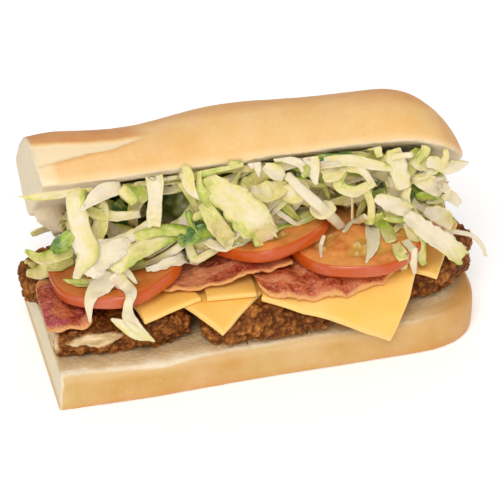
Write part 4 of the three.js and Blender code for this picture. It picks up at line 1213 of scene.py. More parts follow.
# Shreds that show in the photograph. A path runs through pixels of it: (u, v, y) hangs free at depth y and
# (u, v) lies on what is seen there. Widths are in millimetres from root to tip, and tones run from white
# rib (0) to dark leaf (1)
FRONT_SHREDS = {
    "thin strand past the cut": shred(
        [(92, 186, -20), (67, 191, -23), (52, 194, -24), (32, 196, -23.5), (13, 193, -22)],
        (4, 4.5, 4.5, 3.5, 1.2), (0.42, 0.34, 0.4),
    ),
    "broad cream strip": shred(
        [(80, 184, -20), (76, 200, -25), (77.5, 216, -26.5), (82, 236, -28), (88, 254, -31), (80, 268, -34),
         (76, 279, -37)],
        (6, 6.8, 7.2, 8.2, 8.2, 4, 3), (0.42, 0.3, 0.36, 0.4), ruffle=0.4,
    ),
    "cream triangle": shred(
        [(121, 187, -20), (100, 194, -25), (79, 212, -27.5)],
        (4.5, 6, 0.5), (0.08,), ruffle=0.1,
    ),
    "green square": shred([(121, 189, -22), (136, 203, -22)], (4.2, 4.5), (0.5, 0.62), ruffle=0.1),
    "olive leaf": shred([(122, 182, -16), (138, 192, -17), (147, 200, -16)], (4, 6, 4), (0.6, 0.5)),
    "hanging rib": shred(
        [(153, 166, -22), (155, 182, -25), (155, 197, -25.5), (154, 213, -25), (154, 227, -24)],
        (6.3, 6.2, 5, 5.5, 4.5), (0.34, 0.2, 0.26), ruffle=0.05, steps=60, ridges=0.16,
    ),
    "leaf in the hollow": shred([(98, 203, -9), (112, 208, -8), (130, 215, -7)], (5, 5.5, 4), (0.62,)),
    "dark leaf in the hollow": shred([(114, 203, -11), (124, 214, -9), (130, 224, -9)], (5, 5.5, 4), (1,)),
    "pale leaf in the hollow": shred([(92, 214, -7), (106, 214, -6), (120, 216, -5)], (4, 4, 3), (0.35,)),
    "olive floor of the hollow": shred([(98, 226, -6), (112, 228, -6), (126, 230, -5)], (5, 6, 4), (0.7,)),
    "low ribbon": shred(
        [(153, 223, -20), (138, 233, -22), (125, 239, -24), (108, 244, -26), (97, 243, -27)],
        (4.5, 5, 4.5, 3.6, 3), (0.18, 0.12), ruffle=0.35,
    ),
    "left bunch, upper": shred(
        [(72, 250), (52, 257), (38, 258), (25, 251)],
        (5, 5, 4, 1.5), (0.7, 0.55, 0.6),
    ),
    "left bunch, middle": shred(
        [(74, 257), (54, 263), (38, 265), (25, 262)],
        (4, 5, 4, 1.5), (0.5, 0.42, 0.6),
    ),
    "left bunch, lower": shred(
        [(74, 262), (54, 270), (38, 273), (26, 274)],
        (4, 5.5, 5, 2.5), (0.6, 0.5, 0.55),
    ),
    "left bunch, dark": shred([(72, 234), (62, 243), (52, 252)], (4, 6, 3), (0.78, 0.92)),
    "curved strand": shred(
        [(178, 163, -22), (186, 174, -25), (190, 188, -26), (199.6, 200, -26)],
        (5.5, 5.2, 4, 0.6), (0.34, 0.22), ruffle=0.1,
    ),
    "twisted leaf": shred(
        [(200, 165, -22), (199, 183, -25), (205, 196, -26), (212, 205, -26)],
        (1.5, 2.5, 4.5, 4), (0.55, 0.7), twist=0.5,
    ),
    "lime band": shred(
        [(199, 172, -22), (222, 165, -24), (243, 156, -24)],
        (4.5, 3.8, 2.5), (0.74, 0.66, 0.5),
    ),
    "big leaf": shred(
        [(206, 176, -23), (222, 192, -26), (240, 208, -29), (258, 226, -31), (268, 242)],
        (5, 10.5, 13.5, 13, 8), (0.44, 0.36, 0.34), edge=0.1, ruffle=0.9, steps=40, columns=14,
    ),
    "green leaf beside it": shred(
        [(203, 203, -25), (215, 222, -28), (232, 245)],
        (4.5, 7, 6), (0.42, 0.5, 0.4), ruffle=0.4,
    ),
    "pink strip": shred([(172, 227, -17), (190, 220, -18), (210, 211, -19)], (3.6, 4, 3.4), (0.06,)),
    "dark leaf": shred(
        [(178, 242, -24), (197, 234, -23), (218, 227, -21)],
        (4.5, 7, 5), (0.9, 1, 0.95), ruffle=0.5,
    ),
    "dark leaf's pale end": shred(
        [(158, 255), (175, 247), (193, 240)],
        (4, 6.5, 5), (0.72, 0.82, 0.86), ruffle=0.7,
    ),
    "star's upper arm": shred(
        [(188, 230, -19), (160, 240, -22.5), (136, 253, -28), (112, 270, -32)],
        (3, 6, 6.3, 5.5), (0.5, 0.46, 0.3), ruffle=0.35, steps=36,
    ),
    "star's white heart": shred(
        [(132, 243, -25), (112, 251, -29), (94, 265, -33), (88, 276, -34)],
        (4, 8.4, 10, 6.5), (0.1, 0.04), ruffle=0.5, columns=10,
    ),
    "star's left arm": shred(
        [(114, 271, -31), (96, 283), (82, 285), (63, 280)],
        (5, 4, 4.2, 0.6), (0.3, 0.5, 0.56), lift=2,
    ),
    "star's lower left arm": shred(
        [(113, 275, -31), (98, 290), (89.5, 302), (90, 323)],
        (6, 8, 4, 0.8), (0.08, 0.2), lift=2.5,
    ),
    "star's lower right arm": shred(
        [(113, 273, -32), (124.5, 286), (131, 294), (128, 305, -40)],
        (5.5, 5.2, 4.4, 3.4), (0.1, 0.2), lift=3,
    ),
    "star's tail": shred(
        [(130, 297, -39.6), (128, 307, -41), (130, 319), (140, 332), (155, 342)],
        (3, 3.6, 5, 4, 0.6), (0.14, 0.34), lift=1.5,
    ),
    "star's side tail": shred(
        [(111, 319), (124, 326), (138, 334), (154, 341.5)],
        (0.8, 4, 4.6, 0.6), (0.3,), lift=0.8,
    ),
    "lime square": shred([(129, 270), (146, 267)], (5.2, 6), (0.62, 0.54), lift=1, ruffle=0.1),
    "star's small tip": shred(
        [(118, 271, -31), (128, 274, -29), (137, 284)],
        (3, 3, 0.7), (0.2,), lift=2.5,
    ),
    "long cream ribbon": shred(
        [(228, 242), (205, 250), (182, 259), (162, 266), (146, 270)],
        (5.5, 5, 4.6, 3.6, 2), (0.14, 0.08), lift=3, ruffle=0.6, steps=40,
    ),
    "petal under the ribbon": shred([(207, 255), (219, 262), (229, 273)], (4, 5, 0.8), (0.14,), lift=1.5),
    "petal at the crust": shred([(247, 155, -22), (256, 164, -24), (259, 177, -25)], (5, 4, 0.5), (0.1,)),
    "round petal": shred([(264, 166, -25), (275, 172, -26.5), (284, 177, -25)], (3, 5.8, 3), (0.14, 0.24)),
    "crescent": shred(
        [(273, 156, -23), (290, 160, -24), (300, 164, -25), (303, 173, -25)],
        (2, 3, 3, 1), (0.08,),
    ),
    "olive petal": shred([(241, 180, -20), (252, 184, -21), (265, 180, -20)], (3, 6, 3), (0.52,)),
    "cup leaf": shred(
        [(250, 190, -23), (268, 192, -26), (288, 184, -23)],
        (3, 8.4, 4), (0.42, 0.34, 0.4), ruffle=0.6,
    ),
    "cup leaf's tip": shred([(262, 188, -24), (268, 198, -26), (269, 207, -25)], (6, 4.2, 0.6), (0.4,)),
    "second cup leaf": shred(
        [(280, 194, -23), (294, 192, -26), (308, 184, -23)],
        (4, 8.4, 4), (0.4, 0.46), ruffle=0.5,
    ),
    "thin pink strand": shred([(269, 206, -22), (285, 217, -22), (303, 229, -20)], (1.6, 2, 1.4), (0.06,)),
    "dark leaf under the crust": shred(
        [(317, 156, -22), (334, 158, -23.5), (352, 156, -22)],
        (3.5, 3.4, 5), (1, 0.96, 0.84),
    ),
    "cupped petal": shred(
        [(308, 149, -22), (312, 166, -25), (316, 185, -26)],
        (5.6, 6, 1), (0.24, 0.12), ruffle=0.1,
    ),
    "diagonal rib": shred(
        [(286, 174, -23), (305, 193, -27), (322, 208, -28.5), (343.6, 228)],
        (3.4, 4.2, 4.2, 3.6), (0.04,), ruffle=0.05, thickness=1.2,
    ),
    "leaf beside the rib": shred(
        [(310, 206, -25), (322, 210, -26), (334, 204, -25)],
        (4, 7.5, 4), (0.3, 0.4),
    ),
    "long folded leaf": shred(
        [(316, 164, -23), (340, 160, -25), (366, 163, -26), (392, 169, -25)],
        (3, 4.4, 4.2, 2), (0.28, 0.36),
    ),
    "loop": shred(
        [(344, 170, -24), (338, 184, -26), (354, 191.5, -26.5), (374, 182, -26)],
        (3, 4.2, 4.4, 3), (0.5, 0.44), ruffle=0.2,
    ),
    "arch over the loop": shred(
        [(346, 168, -25), (362, 171, -26.5), (375, 187, -26)],
        (2.6, 2.8, 2), (0.3,),
    ),
    "leaf left of the loop": shred(
        [(322, 176, -24), (334, 172, -25), (344, 164, -24)],
        (5, 7, 4), (0.34, 0.44),
    ),
    "curl at the crust": shred(
        [(366, 143, -21), (376, 147, -24), (379, 157, -24)],
        (2.5, 3.2, 2.6), (0.4,),
    ),
    "broad strip": shred(
        [(392, 149, -22), (398, 168, -25), (404, 189, -25)],
        (6, 7.2, 5.5), (0.46, 0.24), ruffle=0.5, steps=36,
    ),
    "leaf at the end": shred(
        [(410, 152, -20), (424, 162, -21), (438, 171, -20)],
        (6, 7, 4), (0.5, 0.42), ruffle=0.5,
    ),
    "pale tip past the crust": shred(
        [(426, 160, -22), (446, 166, -22), (457, 165, -21), (468, 162, -20)],
        (4.5, 5.5, 4.5, 1), (0.3, 0.16), ruffle=0.5, steps=36,
    ),
    "thin dark blade": shred([(420, 168, -20), (432, 172, -20), (445, 173, -19)], (1.6, 2, 0.8), (0.84,)),
    "cream leaf": shred(
        [(412, 178, -21), (430, 184, -22), (446, 188, -20)],
        (4, 7.4, 5), (0.4, 0.1), ruffle=0.9, steps=36,
    ),
    "small tip": shred([(440, 192, -20), (450, 196, -19), (460, 204, -18)], (3, 4.5, 3), (0.1,)),
    "stem": shred([(407, 186, -24), (405, 198, -25), (408, 213, -25)], (3.4, 3.6, 4), (0.34, 0.26)),
    "white shred": shred(
        [(375, 197, -26), (390, 203, -27), (410, 213, -27)],
        (3.5, 6.2, 5.5), (0.05, 0.24), ruffle=0.7, steps=36,
    ),
    "lime patch": shred(
        [(382, 212, -24), (400, 214, -25.5), (416, 208, -24)],
        (5, 6.5, 5), (0.5, 0.66, 0.56),
    ),
    "lime leaf on the slice": shred([(377, 213, -26), (384, 228), (392, 243)], (4.5, 6, 5), (0.62, 0.56)),
    "thin upright strand": shred([(352, 194, -24), (352, 206, -22), (352, 219, -20)], (1, 1, 1), (0.3,)),
    "upright blade": shred(
        [(364, 186, -25), (371, 204, -26), (370, 224, -26)],
        (3.4, 2.8, 3.2), (0.5, 0.58),
    ),
    "hooked shred": shred([(343, 233), (354, 223), (367, 216, -26)], (1.8, 2.8, 3), (0.36, 0.3)),
    "flake on the slice": shred([(372, 227), (373, 245), (366, 263)], (5.2, 5.2, 0.6), (0.14, 0.08)),
    "white strip": shred(
        [(406, 215, -29), (422, 227, -33), (440, 240, -35), (464, 258, -33)],
        (4.5, 7, 8, 7), (0.02, 0.04, 0.08, 0.5), ruffle=0.6, thickness=1.0, columns=12, steps=44, edge=0.12,
    ),
    "strip over the white one": shred(
        [(424, 210, -24), (440, 216, -25), (452, 226, -24)],
        (3, 7, 4), (0.1, 0.4), ruffle=0.7, steps=36,
    ),
    "small shred at its root": shred(
        [(413, 219, -28), (400, 226), (389, 238)],
        (3.8, 3.2, 0.5), (0.14, 0.3),
    ),
    "lime blade": shred([(407, 221, -28), (416, 238), (424, 265)], (3.5, 5.6, 2.4), (0.42, 0.66), lift=1.5),
    "cream blade": shred([(405, 240), (412, 256), (415, 274)], (3.4, 3.6, 1.4), (0.2,), lift=1),
    "green blade": shred([(395, 244), (402, 256), (404, 270)], (3, 4.6, 2), (0.5, 0.4)),
    "far thin strand": shred(
        [(444, 230, -20), (456, 231.5, -20), (472, 235, -18), (481, 243.5, -17), (486, 256, -17)],
        (1.4, 1.8, 1.8, 1.7, 1.4), (0.1,),
    ),
    "thread on the slice": shred([(324, 235), (321, 246), (321, 257)], (1.4, 1.6, 0.8), (0.1,)),
}

# The face of the heap as the photograph shows it: how far forward it lies at each height
FACE_HEIGHTS = (50, 58, 66, 76, 84)
FACE_DEPTHS = (-14, -24, -26.5, -25, -22.5)
SLICES_ON_SHOULDER = 5.0
SHRED_LIFT = 1.0
THIN_EDGE = 0.3
SHELF_FRONT_Y = -42.0
SHELF_Z = HEEL_HEIGHT + 6
LOOK_FROM_Y = -60.0
LOOK_TO_Y = 20.0
LOOK_STEP = 0.4


def carried(point):
    """Whether a point is inside what carries the shreds: tomato, heap, slices or bottom bread."""
    x, y, z = point
    for shape in TOMATOES.values():
        across, back = x - shape["x"], y - shape["y"]
        floor = shape["floor"] + shape["climb"] * across + shape["pitch"] * back
        if math.hypot(across, back) < shape["radius"] and floor < z < floor + TOMATO_THICKNESS:
            return True
    if z > FACE_HEIGHTS[0] and y > np.interp(z, FACE_HEIGHTS, FACE_DEPTHS):
        return True
    return y > SHELF_FRONT_Y and z < max(SHELF_Z, shoulder_top(y) + SLICES_ON_SHOULDER)


def on_carrier(u, v, lift):
    """The place seen at pixel (u, v), lift in front of what carries the shreds there."""
    ray = CAMERA.ray(u, v)
    ray /= np.linalg.norm(ray)
    point = on_y(u, v, LOOK_FROM_Y)
    while not carried(point) and point[1] < LOOK_TO_Y:
        point = point + ray * LOOK_STEP
    return point - ray * lift


def under_brow(point):
    """The point, lowered where it would lie in front of the crown's crust instead of under it."""
    brow = CROWN_FRONT[2] - 0.4 - 0.1 * max(0.0, CROWN_FRONT[1] - point[1])
    return np.array([point[0], point[1], min(point[2], brow)])


def curve_through(points, places):
    """Smooth values at places from 0 to 1 along a few points."""
    points = np.asarray(points, float)
    if len(points) == 1:
        return np.repeat(points, len(places), axis=0)
    ends = np.concatenate([[2 * points[0] - points[1]], points, [2 * points[-1] - points[-2]]])
    spans = len(points) - 1
    found = []
    for t in np.asarray(places) * spans:
        i = min(int(t), spans - 1)
        f = t - i
        a, b, c, d = ends[i:i + 4]
        square = (2 * a - 5 * b + 4 * c - d) * f ** 2
        cube = (3 * b - a - 3 * c + d) * f ** 3
        found.append(0.5 * (2 * b + (c - a) * f + square + cube))
    return np.array(found)


# What the shreds are kept clear of: the crown over them and the bed under them
CROWN_COVER = 82.0
CROWN_DEPTH = 26.0
CROWN_STOP_X = 80.0
BED_FRONT_Y = -36.0
BED_BACK_Y = 34.0
BED_REACH = 84.0
BED_CLEARANCE = 0.6


def settle(points, clear=0.8):
    """Moves points of shreds out of the crown, the tomatoes and the bed under them, and clear of them."""
    points = points.copy()
    x, across, height = crown_frame(points)
    covered = (across > 0) & (across < CROWN_COVER) & (x < CROWN_STOP_X)
    inside = covered & (height > -clear) & (height < CROWN_DEPTH)
    sink = np.where(inside, height + clear, 0)
    points[:, 1] -= sink * math.sin(CROWN_TILT)
    points[:, 2] -= sink * math.cos(CROWN_TILT)
    for shape in TOMATOES.values():
        dx, dy = points[:, 0] - shape["x"], points[:, 1] - shape["y"]
        floor = shape["floor"] + shape["climb"] * dx + shape["pitch"] * dy
        top = floor + TOMATO_THICKNESS + clear / 2
        over_slice = np.hypot(dx, dy) < shape["radius"] + 0.5
        sunk = over_slice & (points[:, 2] < top) & (points[:, 2] > top - 4)
        points[:, 2] = np.where(sunk, top, points[:, 2])
    x, y, z = points.T
    over_bed = (y > BED_FRONT_Y) & (y < BED_BACK_Y) & (np.abs(x) < BED_REACH)
    points[:, 2] = np.where(over_bed, np.maximum(z, BED_Z + BED_CLEARANCE), z)
    return points


def unit(rows):
    return rows / (np.linalg.norm(rows, axis=1, keepdims=True) + 1e-9)


def shred_widths(widths, t, along):
    """Width at each step along a shred, rounded off at both ends."""
    width = np.maximum(curve_through(np.reshape(widths, (-1, 1)), t)[:, 0], 0.5)
    to_end = np.minimum(along, along[-1] - along) / (0.22 * width)
    return width * (0.62 + 0.38 * np.sqrt(1 - (1 - np.clip(to_end, 0, 1)) ** 2))


def shred_directions(centre, facing, angle):
    """At each step along a shred: its heading, the way across it and the way out of its face."""
    heading = unit(np.gradient(centre, axis=0))
    side = unit(np.cross(heading, facing))
    normal = np.cross(side, heading)
    turn = angle[:, None]
    return heading, side * np.cos(turn) + normal * np.sin(turn), normal * np.cos(turn) - side * np.sin(turn)


class Ruffle:
    """How one shred cups, creases, waves and tears, the same for every column across it."""

    def __init__(self, draw, ruffle, ridges):
        self.ruffle, self.ridges = ruffle, ridges
        self.phase, self.number = draw.uniform(0, TAU), draw.uniform(0, 100)
        self.cup = draw.uniform(-0.3, 0.6)
        self.crease, self.crease_at = draw.choice((0, 0, 1)) * ruffle, draw.uniform(-0.5, 0.5)

    def spots(self, s, along):
        return np.stack([along, np.full_like(along, 9 * s), np.full_like(along, self.number)], -1)

    def outward(self, s, along, width):
        """How far the shred stands out of its plane at s, from -1 to 1 across it."""
        bowl = 0.4 * self.cup * width * (s * s - 0.5)
        waves = 1.1 * self.ruffle * abs(s) ** 1.5 * np.sin(TAU * along / (7 + 3 * s) + self.phase + 2.4 * s)
        slow = 0.08 * width * np.sin(TAU * along / 19 + 2 * self.phase)
        blister = (0.25 + 0.5 * self.ruffle) * clouds(self.spots(s, along) * [1, 0.3, 1], 4, 9, 2)
        fold = 0.22 * width * self.crease * (np.abs(s - self.crease_at) - 0.5)
        return bowl + waves + slow + blister + fold + self.ridges * np.cos(TAU * along / 3.1)

    def torn_side(self, s, along):
        """Share of its width that the shred has at s, ragged towards its sides."""
        return 1 + (0.12 + 0.3 * self.ruffle) * clouds(self.spots(s, along), 3.2, 5, 3, 0.65) * abs(s) ** 2

    def torn_end(self, s, t, width):
        """How far the shred runs on along itself at s, ragged at its ends."""
        spots = np.stack([np.full_like(t, 3 * s), t * 0, np.full_like(t, self.number)], -1)
        return clouds(spots, 1.1, 3, 2) * 0.16 * width * np.abs(2 * t - 1) ** 6


class ShredHeap:
    """Gathers shreds into one mesh, with their tone and the place across and along each, in millimetres."""

    def __init__(self, thickness):
        self.thickness = thickness
        self.points, self.faces, self.tone, self.across, self.along = [], [], [], [], []
        self.count = 0

    def add(self, path, widths, tones, draw, facing, steps=14, columns=5, ruffle=0.25, ridges=0.0, edge=0.0,
            thickness=None, twist=0.0):
        """Adds one shred that follows a path, its face turned towards facing."""
        even = np.linspace(0, 1, steps + 1)
        t = even - 0.07 * np.sin(TAU * even)
        centre = settle(curve_through(path, t))
        along = np.concatenate([[0], np.cumsum(np.linalg.norm(np.diff(centre, axis=0), axis=1))])
        width = shred_widths(widths, t, along)
        angle = twist * (t - 0.5) * 2 + draw.uniform(-0.15, 0.15)
        heading, side, normal = shred_directions(centre, facing, angle)
        leaf = Ruffle(draw, ruffle, ridges)
        shares = np.linspace(-1, 1, columns + 1)
        skins = []
        for column in range(columns + 1):
            s = 2 * column / columns - 1
            skin = centre + side * (s * width / 2 * leaf.torn_side(s, along))[:, None]
            skin = skin + normal * leaf.outward(s, along, width)[:, None]
            skin = skin + heading * leaf.torn_end(s, t, width)[:, None]
            skins.append(settle(skin, 0.6 + 0.01 * leaf.number))
        tone = curve_through(np.reshape(tones, (-1, 1)), t)
        tone = tone + (edge + 0.08) * shares ** 2 + draw.uniform(-0.14, 0.14) * shares - 0.04
        self.add_skin(np.stack(skins, 1), normal, thickness or self.thickness)
        self.note(self.tone, tone)
        self.note(self.across, shares * width[:, None] / 2 + leaf.number)
        self.note(self.along, along[:, None] + leaf.number + 0 * shares)

    def note(self, store, values):
        """Keeps a value for each point of both faces of a shred."""
        store.append(np.tile(values.ravel(), 2))

    def add_skin(self, skin, normal, thickness):
        """A closed thin leaf over a grid of places."""
        steps, columns = skin.shape[0] - 1, skin.shape[1] - 1
        edge = np.ones((steps + 1, columns + 1))
        edge[:, [0, -1]] = THIN_EDGE
        edge[[0, -1], :] = THIN_EDGE
        half = (normal[:, None, :] * edge[..., None]) * thickness / 2
        upper, lower = skin + half, skin - half
        side = columns + 1
        count = (steps + 1) * side
        grid = np.arange(count).reshape(steps + 1, side) + self.count
        a, b, c, d = grid[:-1, :-1], grid[:-1, 1:], grid[1:, 1:], grid[1:, :-1]
        quads = np.stack([a, b, c, d], -1).reshape(-1, 4)
        self.faces.extend(quads.tolist())
        self.faces.extend((quads[:, ::-1] + count).tolist())
        rim = np.concatenate([grid[0, :-1], grid[:-1, -1], grid[-1, :0:-1], grid[:0:-1, 0]])
        after = np.roll(rim, -1)
        self.faces.extend(np.stack([after, rim, rim + count, after + count], -1).tolist())
        self.points.append(np.concatenate([upper.reshape(-1, 3), lower.reshape(-1, 3)]))
        self.count += 2 * count

    def object(self, name):
        made = mesh_object(name, np.concatenate(self.points), self.faces)
        paint(made, "tone", np.clip(np.concatenate(self.tone), 0, 1))
        paint(made, "across", np.concatenate(self.across))
        paint(made, "along", np.concatenate(self.along))
        return made


# The heap of shreds, with a hollow at the left and a recess over the right tomato
HEAP_LEFT = -68.0
HEAP_RIGHT = 66.0
HEAP_FRONT_Y = -19.2
HOLLOW_DEPTH = 20.0
RECESS_DEPTH = 16.0
CORE_GRAIN = 1.4


def tomato_top(x):
    """Height of the tomatoes' upper side along the sandwich, which carries the lettuce."""
    tops = []
    for shape in TOMATOES.values():
        away = np.clip(x - shape["x"], -shape["radius"], shape["radius"])
        beyond = abs(x - shape["x"] - away)
        tops.append(shape["floor"] + TOMATO_THICKNESS + shape["climb"] * away - beyond * 0.8)
    return max(tops)


def within(x, start, full, fade, end):
    return float(smoothstep(x, start, full) * (1 - smoothstep(x, fade, end)))


def heap_face(x, share):
    """A place on the face of the heap: share 0 is its foot on the tomatoes, 1 its brow under the crown."""
    front = HEAP_FRONT_Y + HOLLOW_DEPTH * within(x, -70, -60, -44, -32)
    recess = RECESS_DEPTH * within(x, 0, 10, 34, 46)
    floor = tomato_top(x) + 1
    brow = crown_point(x - CROWN_FRONT[0], 3.0, -2.0).reshape(3)
    third = (brow[2] - floor) / 3
    depths = [front - 3 + recess, front - 5 + recess / 2, (front + brow[1]) / 2, brow[1]]
    heights = [floor, floor + third, floor + 2 * third, brow[2]]
    shares = (0, 1 / 3, 2 / 3, 1)
    return np.array([x, np.interp(share, shares, depths), np.interp(share, shares, heights)])


def lettuce_material(name, settings, shade=1.0):
    """Leaf from white rib to dark green by tone, veined along each shred; shade darkens it."""
    leaf = Paint(name)
    spot = leaf.node("ShaderNodeCombineXYZ", {
        "X": leaf.attribute("across"), "Y": leaf.attribute("along"),
    }).outputs["Vector"]

    def veins(size, stretch, detail):
        scaled = leaf.node("ShaderNodeMapping", {"Vector": spot, "Scale": stretch}).outputs["Vector"]
        inputs = {"Vector": scaled, "Scale": 1 / size, "Detail": detail, "Roughness": 0.5}
        return leaf.node("ShaderNodeTexNoise", inputs).outputs["Fac"]

    def shaded(colour):
        return [shade * c for c in colour]

    streaks = veins(0.9, (1, 0.1, 1), 2)
    blotch = veins(5, (1, 0.5, 1), 3)
    fine = veins(1.4, (1, 0.6, 1), 3)
    tone = leaf.maths("ADD", leaf.attribute("tone"), leaf.level(blotch, 0.3, 0.7, -0.2, 0.2))
    tone = leaf.maths("ADD", tone, leaf.level(fine, 0.35, 0.65, -0.07, 0.07))
    rib = shaded(settings.rib)
    colour = leaf.ramp(tone, [
        (0.0, rib), (0.15, rib), (0.45, shaded(settings.pale)), (0.72, shaded(settings.lime)),
        (1.0, shaded(settings.green)),
    ])
    colour = leaf.mix(leaf.level(streaks, 0.54, 0.7, 0, 0.3), colour, rib)
    normal = leaf.bump(streaks, 0.4, 0.6)
    normal = leaf.bump(leaf.noise(2.6, 3), 0.8, 0.6, normal)
    rough = leaf.level(blotch, 0.3, 0.7, 0.3, 0.45)
    return leaf.set(Base_Color=colour, Roughness=rough, Normal=normal, Subsurface_Weight=0.5,
                    Subsurface_Radius=(0.004, 0.0034, 0.0012), Specular_IOR_Level=0.45)


# Loose shreds: their tones from white rib to dark leaf, and how many show at the ends and the back
TONES = (0.1, 0.18, 0.28, 0.36, 0.44, 0.5, 0.58, 0.64, 0.74, 0.92)
LIGHT_TONES = TONES[:8]
LEFT, BACK, RIGHT = -1, 0, 1
END_SHREDS = ((LEFT, 18), (RIGHT, 26), (BACK, 50))
LETTUCE_DRAW = 11
FRONT_FACING = np.array([-0.23, -0.8, 0.55])
# Painted shade: the heap's core takes the leaf colours darkened to this share
CORE_SHADE = 0.3


def loose_shred(draw):
    """Path, widths and tones of one shred on the face of the heap."""
    x = draw.uniform(-72, 66)
    share = draw.uniform(0.02, 0.98 if x < 44 else 0.6)
    in_hollow = within(x, -66, -62, -42, -38) * (share < 0.8)
    if draw.random() < 0.75 * in_hollow:
        x += 34
    up = heap_face(x, 1.0) - heap_face(x, 0.0)
    up /= np.linalg.norm(up)
    length = draw.uniform(18, 38)
    turn = draw.gauss(-0.9, 0.9)
    bend = draw.uniform(-0.5, 0.5)
    place = heap_face(x, share) + [0, draw.uniform(2, 7.5), 0]
    outward = np.array([0, -0.85, 0.5])
    spots = []
    for step, rise in enumerate((0, 0.8, 1, 0.4)):
        spots.append(place + outward * rise * draw.uniform(1, 3))
        heading = turn + bend * step
        place = place + length / 3 * (np.array([math.cos(heading), 0, 0]) + up * math.sin(heading))
    brow = heap_face(x, 1.0)[2] - 2
    spots = [np.clip(spot, [-71, -34, tomato_top(spot[0]) + 1], [68, 40, brow]) for spot in spots]
    width = draw.uniform(2.8, 6)
    widths = (width * 0.8, width, width * 0.9, width * draw.uniform(0.2, 0.8))
    return spots, widths, (draw.choice(TONES), draw.choice(LIGHT_TONES))


def end_shred(draw, side):
    """One shred that shows at the left or right end or at the back."""
    if side == BACK:
        x = draw.uniform(-74, 68)
        root = np.array([x, 26, 38])
        middle = root + [draw.uniform(-6, 6), 9, -1]
        tip = root + [draw.uniform(-11, 11), draw.uniform(11, 14.5), -draw.uniform(3, 11)]
    else:
        y = draw.uniform(-22, 24)
        height = draw.uniform(44, 80 - 0.75 * (y + 24))
        root = np.array([-64 if side == LEFT else 57, y, height])
        middle = root + [side * 8, draw.uniform(-4, 4), 1]
        reach = draw.uniform(9, 13) if side == RIGHT else draw.uniform(5, 9)
        tip = root + [side * reach, draw.uniform(-8, 8), -draw.uniform(1, 9)]
    width = draw.uniform(3.5, 6.5)
    return [root, middle, tip], (width, width, width * 0.5), (draw.choice(TONES), draw.choice(LIGHT_TONES))


def core_ring(x):
    """Section of the heap's inside: its face, the crown over it, its back and its base."""
    floor = tomato_top(x) - 0.5
    face = [heap_face(x, share) + [0, 8, -0.5] for share in np.linspace(0, 1, 12)]
    roof = [crown_point(x - CROWN_FRONT[0], across, -3.0).reshape(3) for across in np.linspace(14, 72, 14)]
    back = [np.array([x, 31, z]) for z in np.linspace(37, 33, 4)]
    base = []
    for y in np.linspace(28, 4, 14):
        base.append(np.array([x, y, max(33.0, floor - 1) if y < 18 else 33.0]))
    taper = min(1.0, 0.4 + (-HEAP_LEFT - abs(x)) / 12)
    ring = np.array(face + roof + back + base)
    middle = np.array([x, 0, floor + 12])
    return middle + (ring - middle) * [1, taper, taper]


def heap_core():
    """The inside of the heap: a lumpy mass that the shreds lie over."""
    rings = [core_ring(x) for x in np.linspace(HEAP_LEFT, HEAP_RIGHT, 60)]
    core = mesh_object("lettuce_heap_core", *stacked_rings(rings))
    remeshed(core, CORE_GRAIN)
    points, normals = points_of(core), normals_of(core)
    near, far = cells(points * [0.5, 1, 1], 5, 2)
    relief = 2.2 * smoothstep(far - near, 0, 0.6) - 1.6 + 0.6 * clouds(points, 3, 5, 2)
    move_points(core, settle(points + normals * relief[:, None]))
    paint(core, "tone", np.clip(0.66 + 0.3 * clouds(points, 8, 6), 0, 1))
    paint(core, "across", points[:, 2])
    paint(core, "along", points[:, 0] + points[:, 1])
    return core


def shown_shreds(settings, draw):
    """The shreds that show in the photograph, each where it is seen."""
    heap = ShredHeap(settings.thickness / MM)
    for shape in FRONT_SHREDS.values():
        looks = {"steps": 26, "columns": 8, **shape}
        path, lift = looks.pop("path"), looks.pop("lift", SHRED_LIFT)
        places = [on_y(*spot) if len(spot) == 3 else on_carrier(*spot, lift) for spot in path]
        places = [under_brow(place) for place in places]
        heap.add(places, draw=draw, facing=FRONT_FACING, **looks)
    return heap.object("lettuce_shreds")


def add_loose(heap, shape, draw, facing):
    path, widths, tones = shape
    twist = draw.uniform(-0.5, 0.5)
    heap.add(path, widths, tones, draw, facing, twist=twist, ruffle=draw.uniform(0.1, 0.7))


def loose_shreds(settings, draw):
    """Loose shreds over the face of the heap and at its ends."""
    heap = ShredHeap(settings.thickness / MM)
    for _ in range(settings.loose):
        facing = FRONT_FACING + [draw.uniform(-0.6, 0.6), 0, draw.uniform(-0.5, 0.5)]
        add_loose(heap, loose_shred(draw), draw, facing)
    for side, count in END_SHREDS:
        facing = np.array([0, 0.8, 0.6]) if side == BACK else np.array([side, 0.3, 0.6])
        for _ in range(count):
            add_loose(heap, end_shred(draw, side), draw, facing)
    return heap.object("lettuce_loose_shreds")


class SUB_OT_lettuce(bpy.types.Operator):
    """The heap of shredded lettuce: a core, the shreds that show in the photograph and loose ones between"""
    bl_idname = "sub.lettuce"
    bl_label = "Lettuce"

    def execute(self, context):
        settings = context.scene.sub_lettuce
        draw = random.Random(LETTUCE_DRAW)
        leaf = lettuce_material("lettuce_leaf", settings)
        # The heap's core gets a darker copy of the leaf material, as painted shade inside the heap
        depths = lettuce_material("lettuce_depths", settings, CORE_SHADE)
        finish_piece(shown_shreds(settings, draw), ["lettuce"], leaf)
        finish_piece(loose_shreds(settings, draw), ["lettuce"], leaf)
        finish_piece(heap_core(), ["lettuce"], depths)
        return {"FINISHED"}


# Stage

class StageSettings(bpy.types.PropertyGroup):
    floor: colour_property("Floor", "Pale floor", (0.9, 0.9, 0.9))
    key: power_property("Key light", "Power of the light over the front", 6.7)
    fill: power_property("Fill light", "Power of the lights at the side and behind", 2.0)
    low: power_property("Low light", "Power of the light low in front", 1.9)
    sky: FloatProperty(name="Sky", description="Strength of the even light all round", default=0.38, min=0)
    glow: FloatProperty(name="Floor glow", description="Light that the floor gives off", default=0.3, min=0)


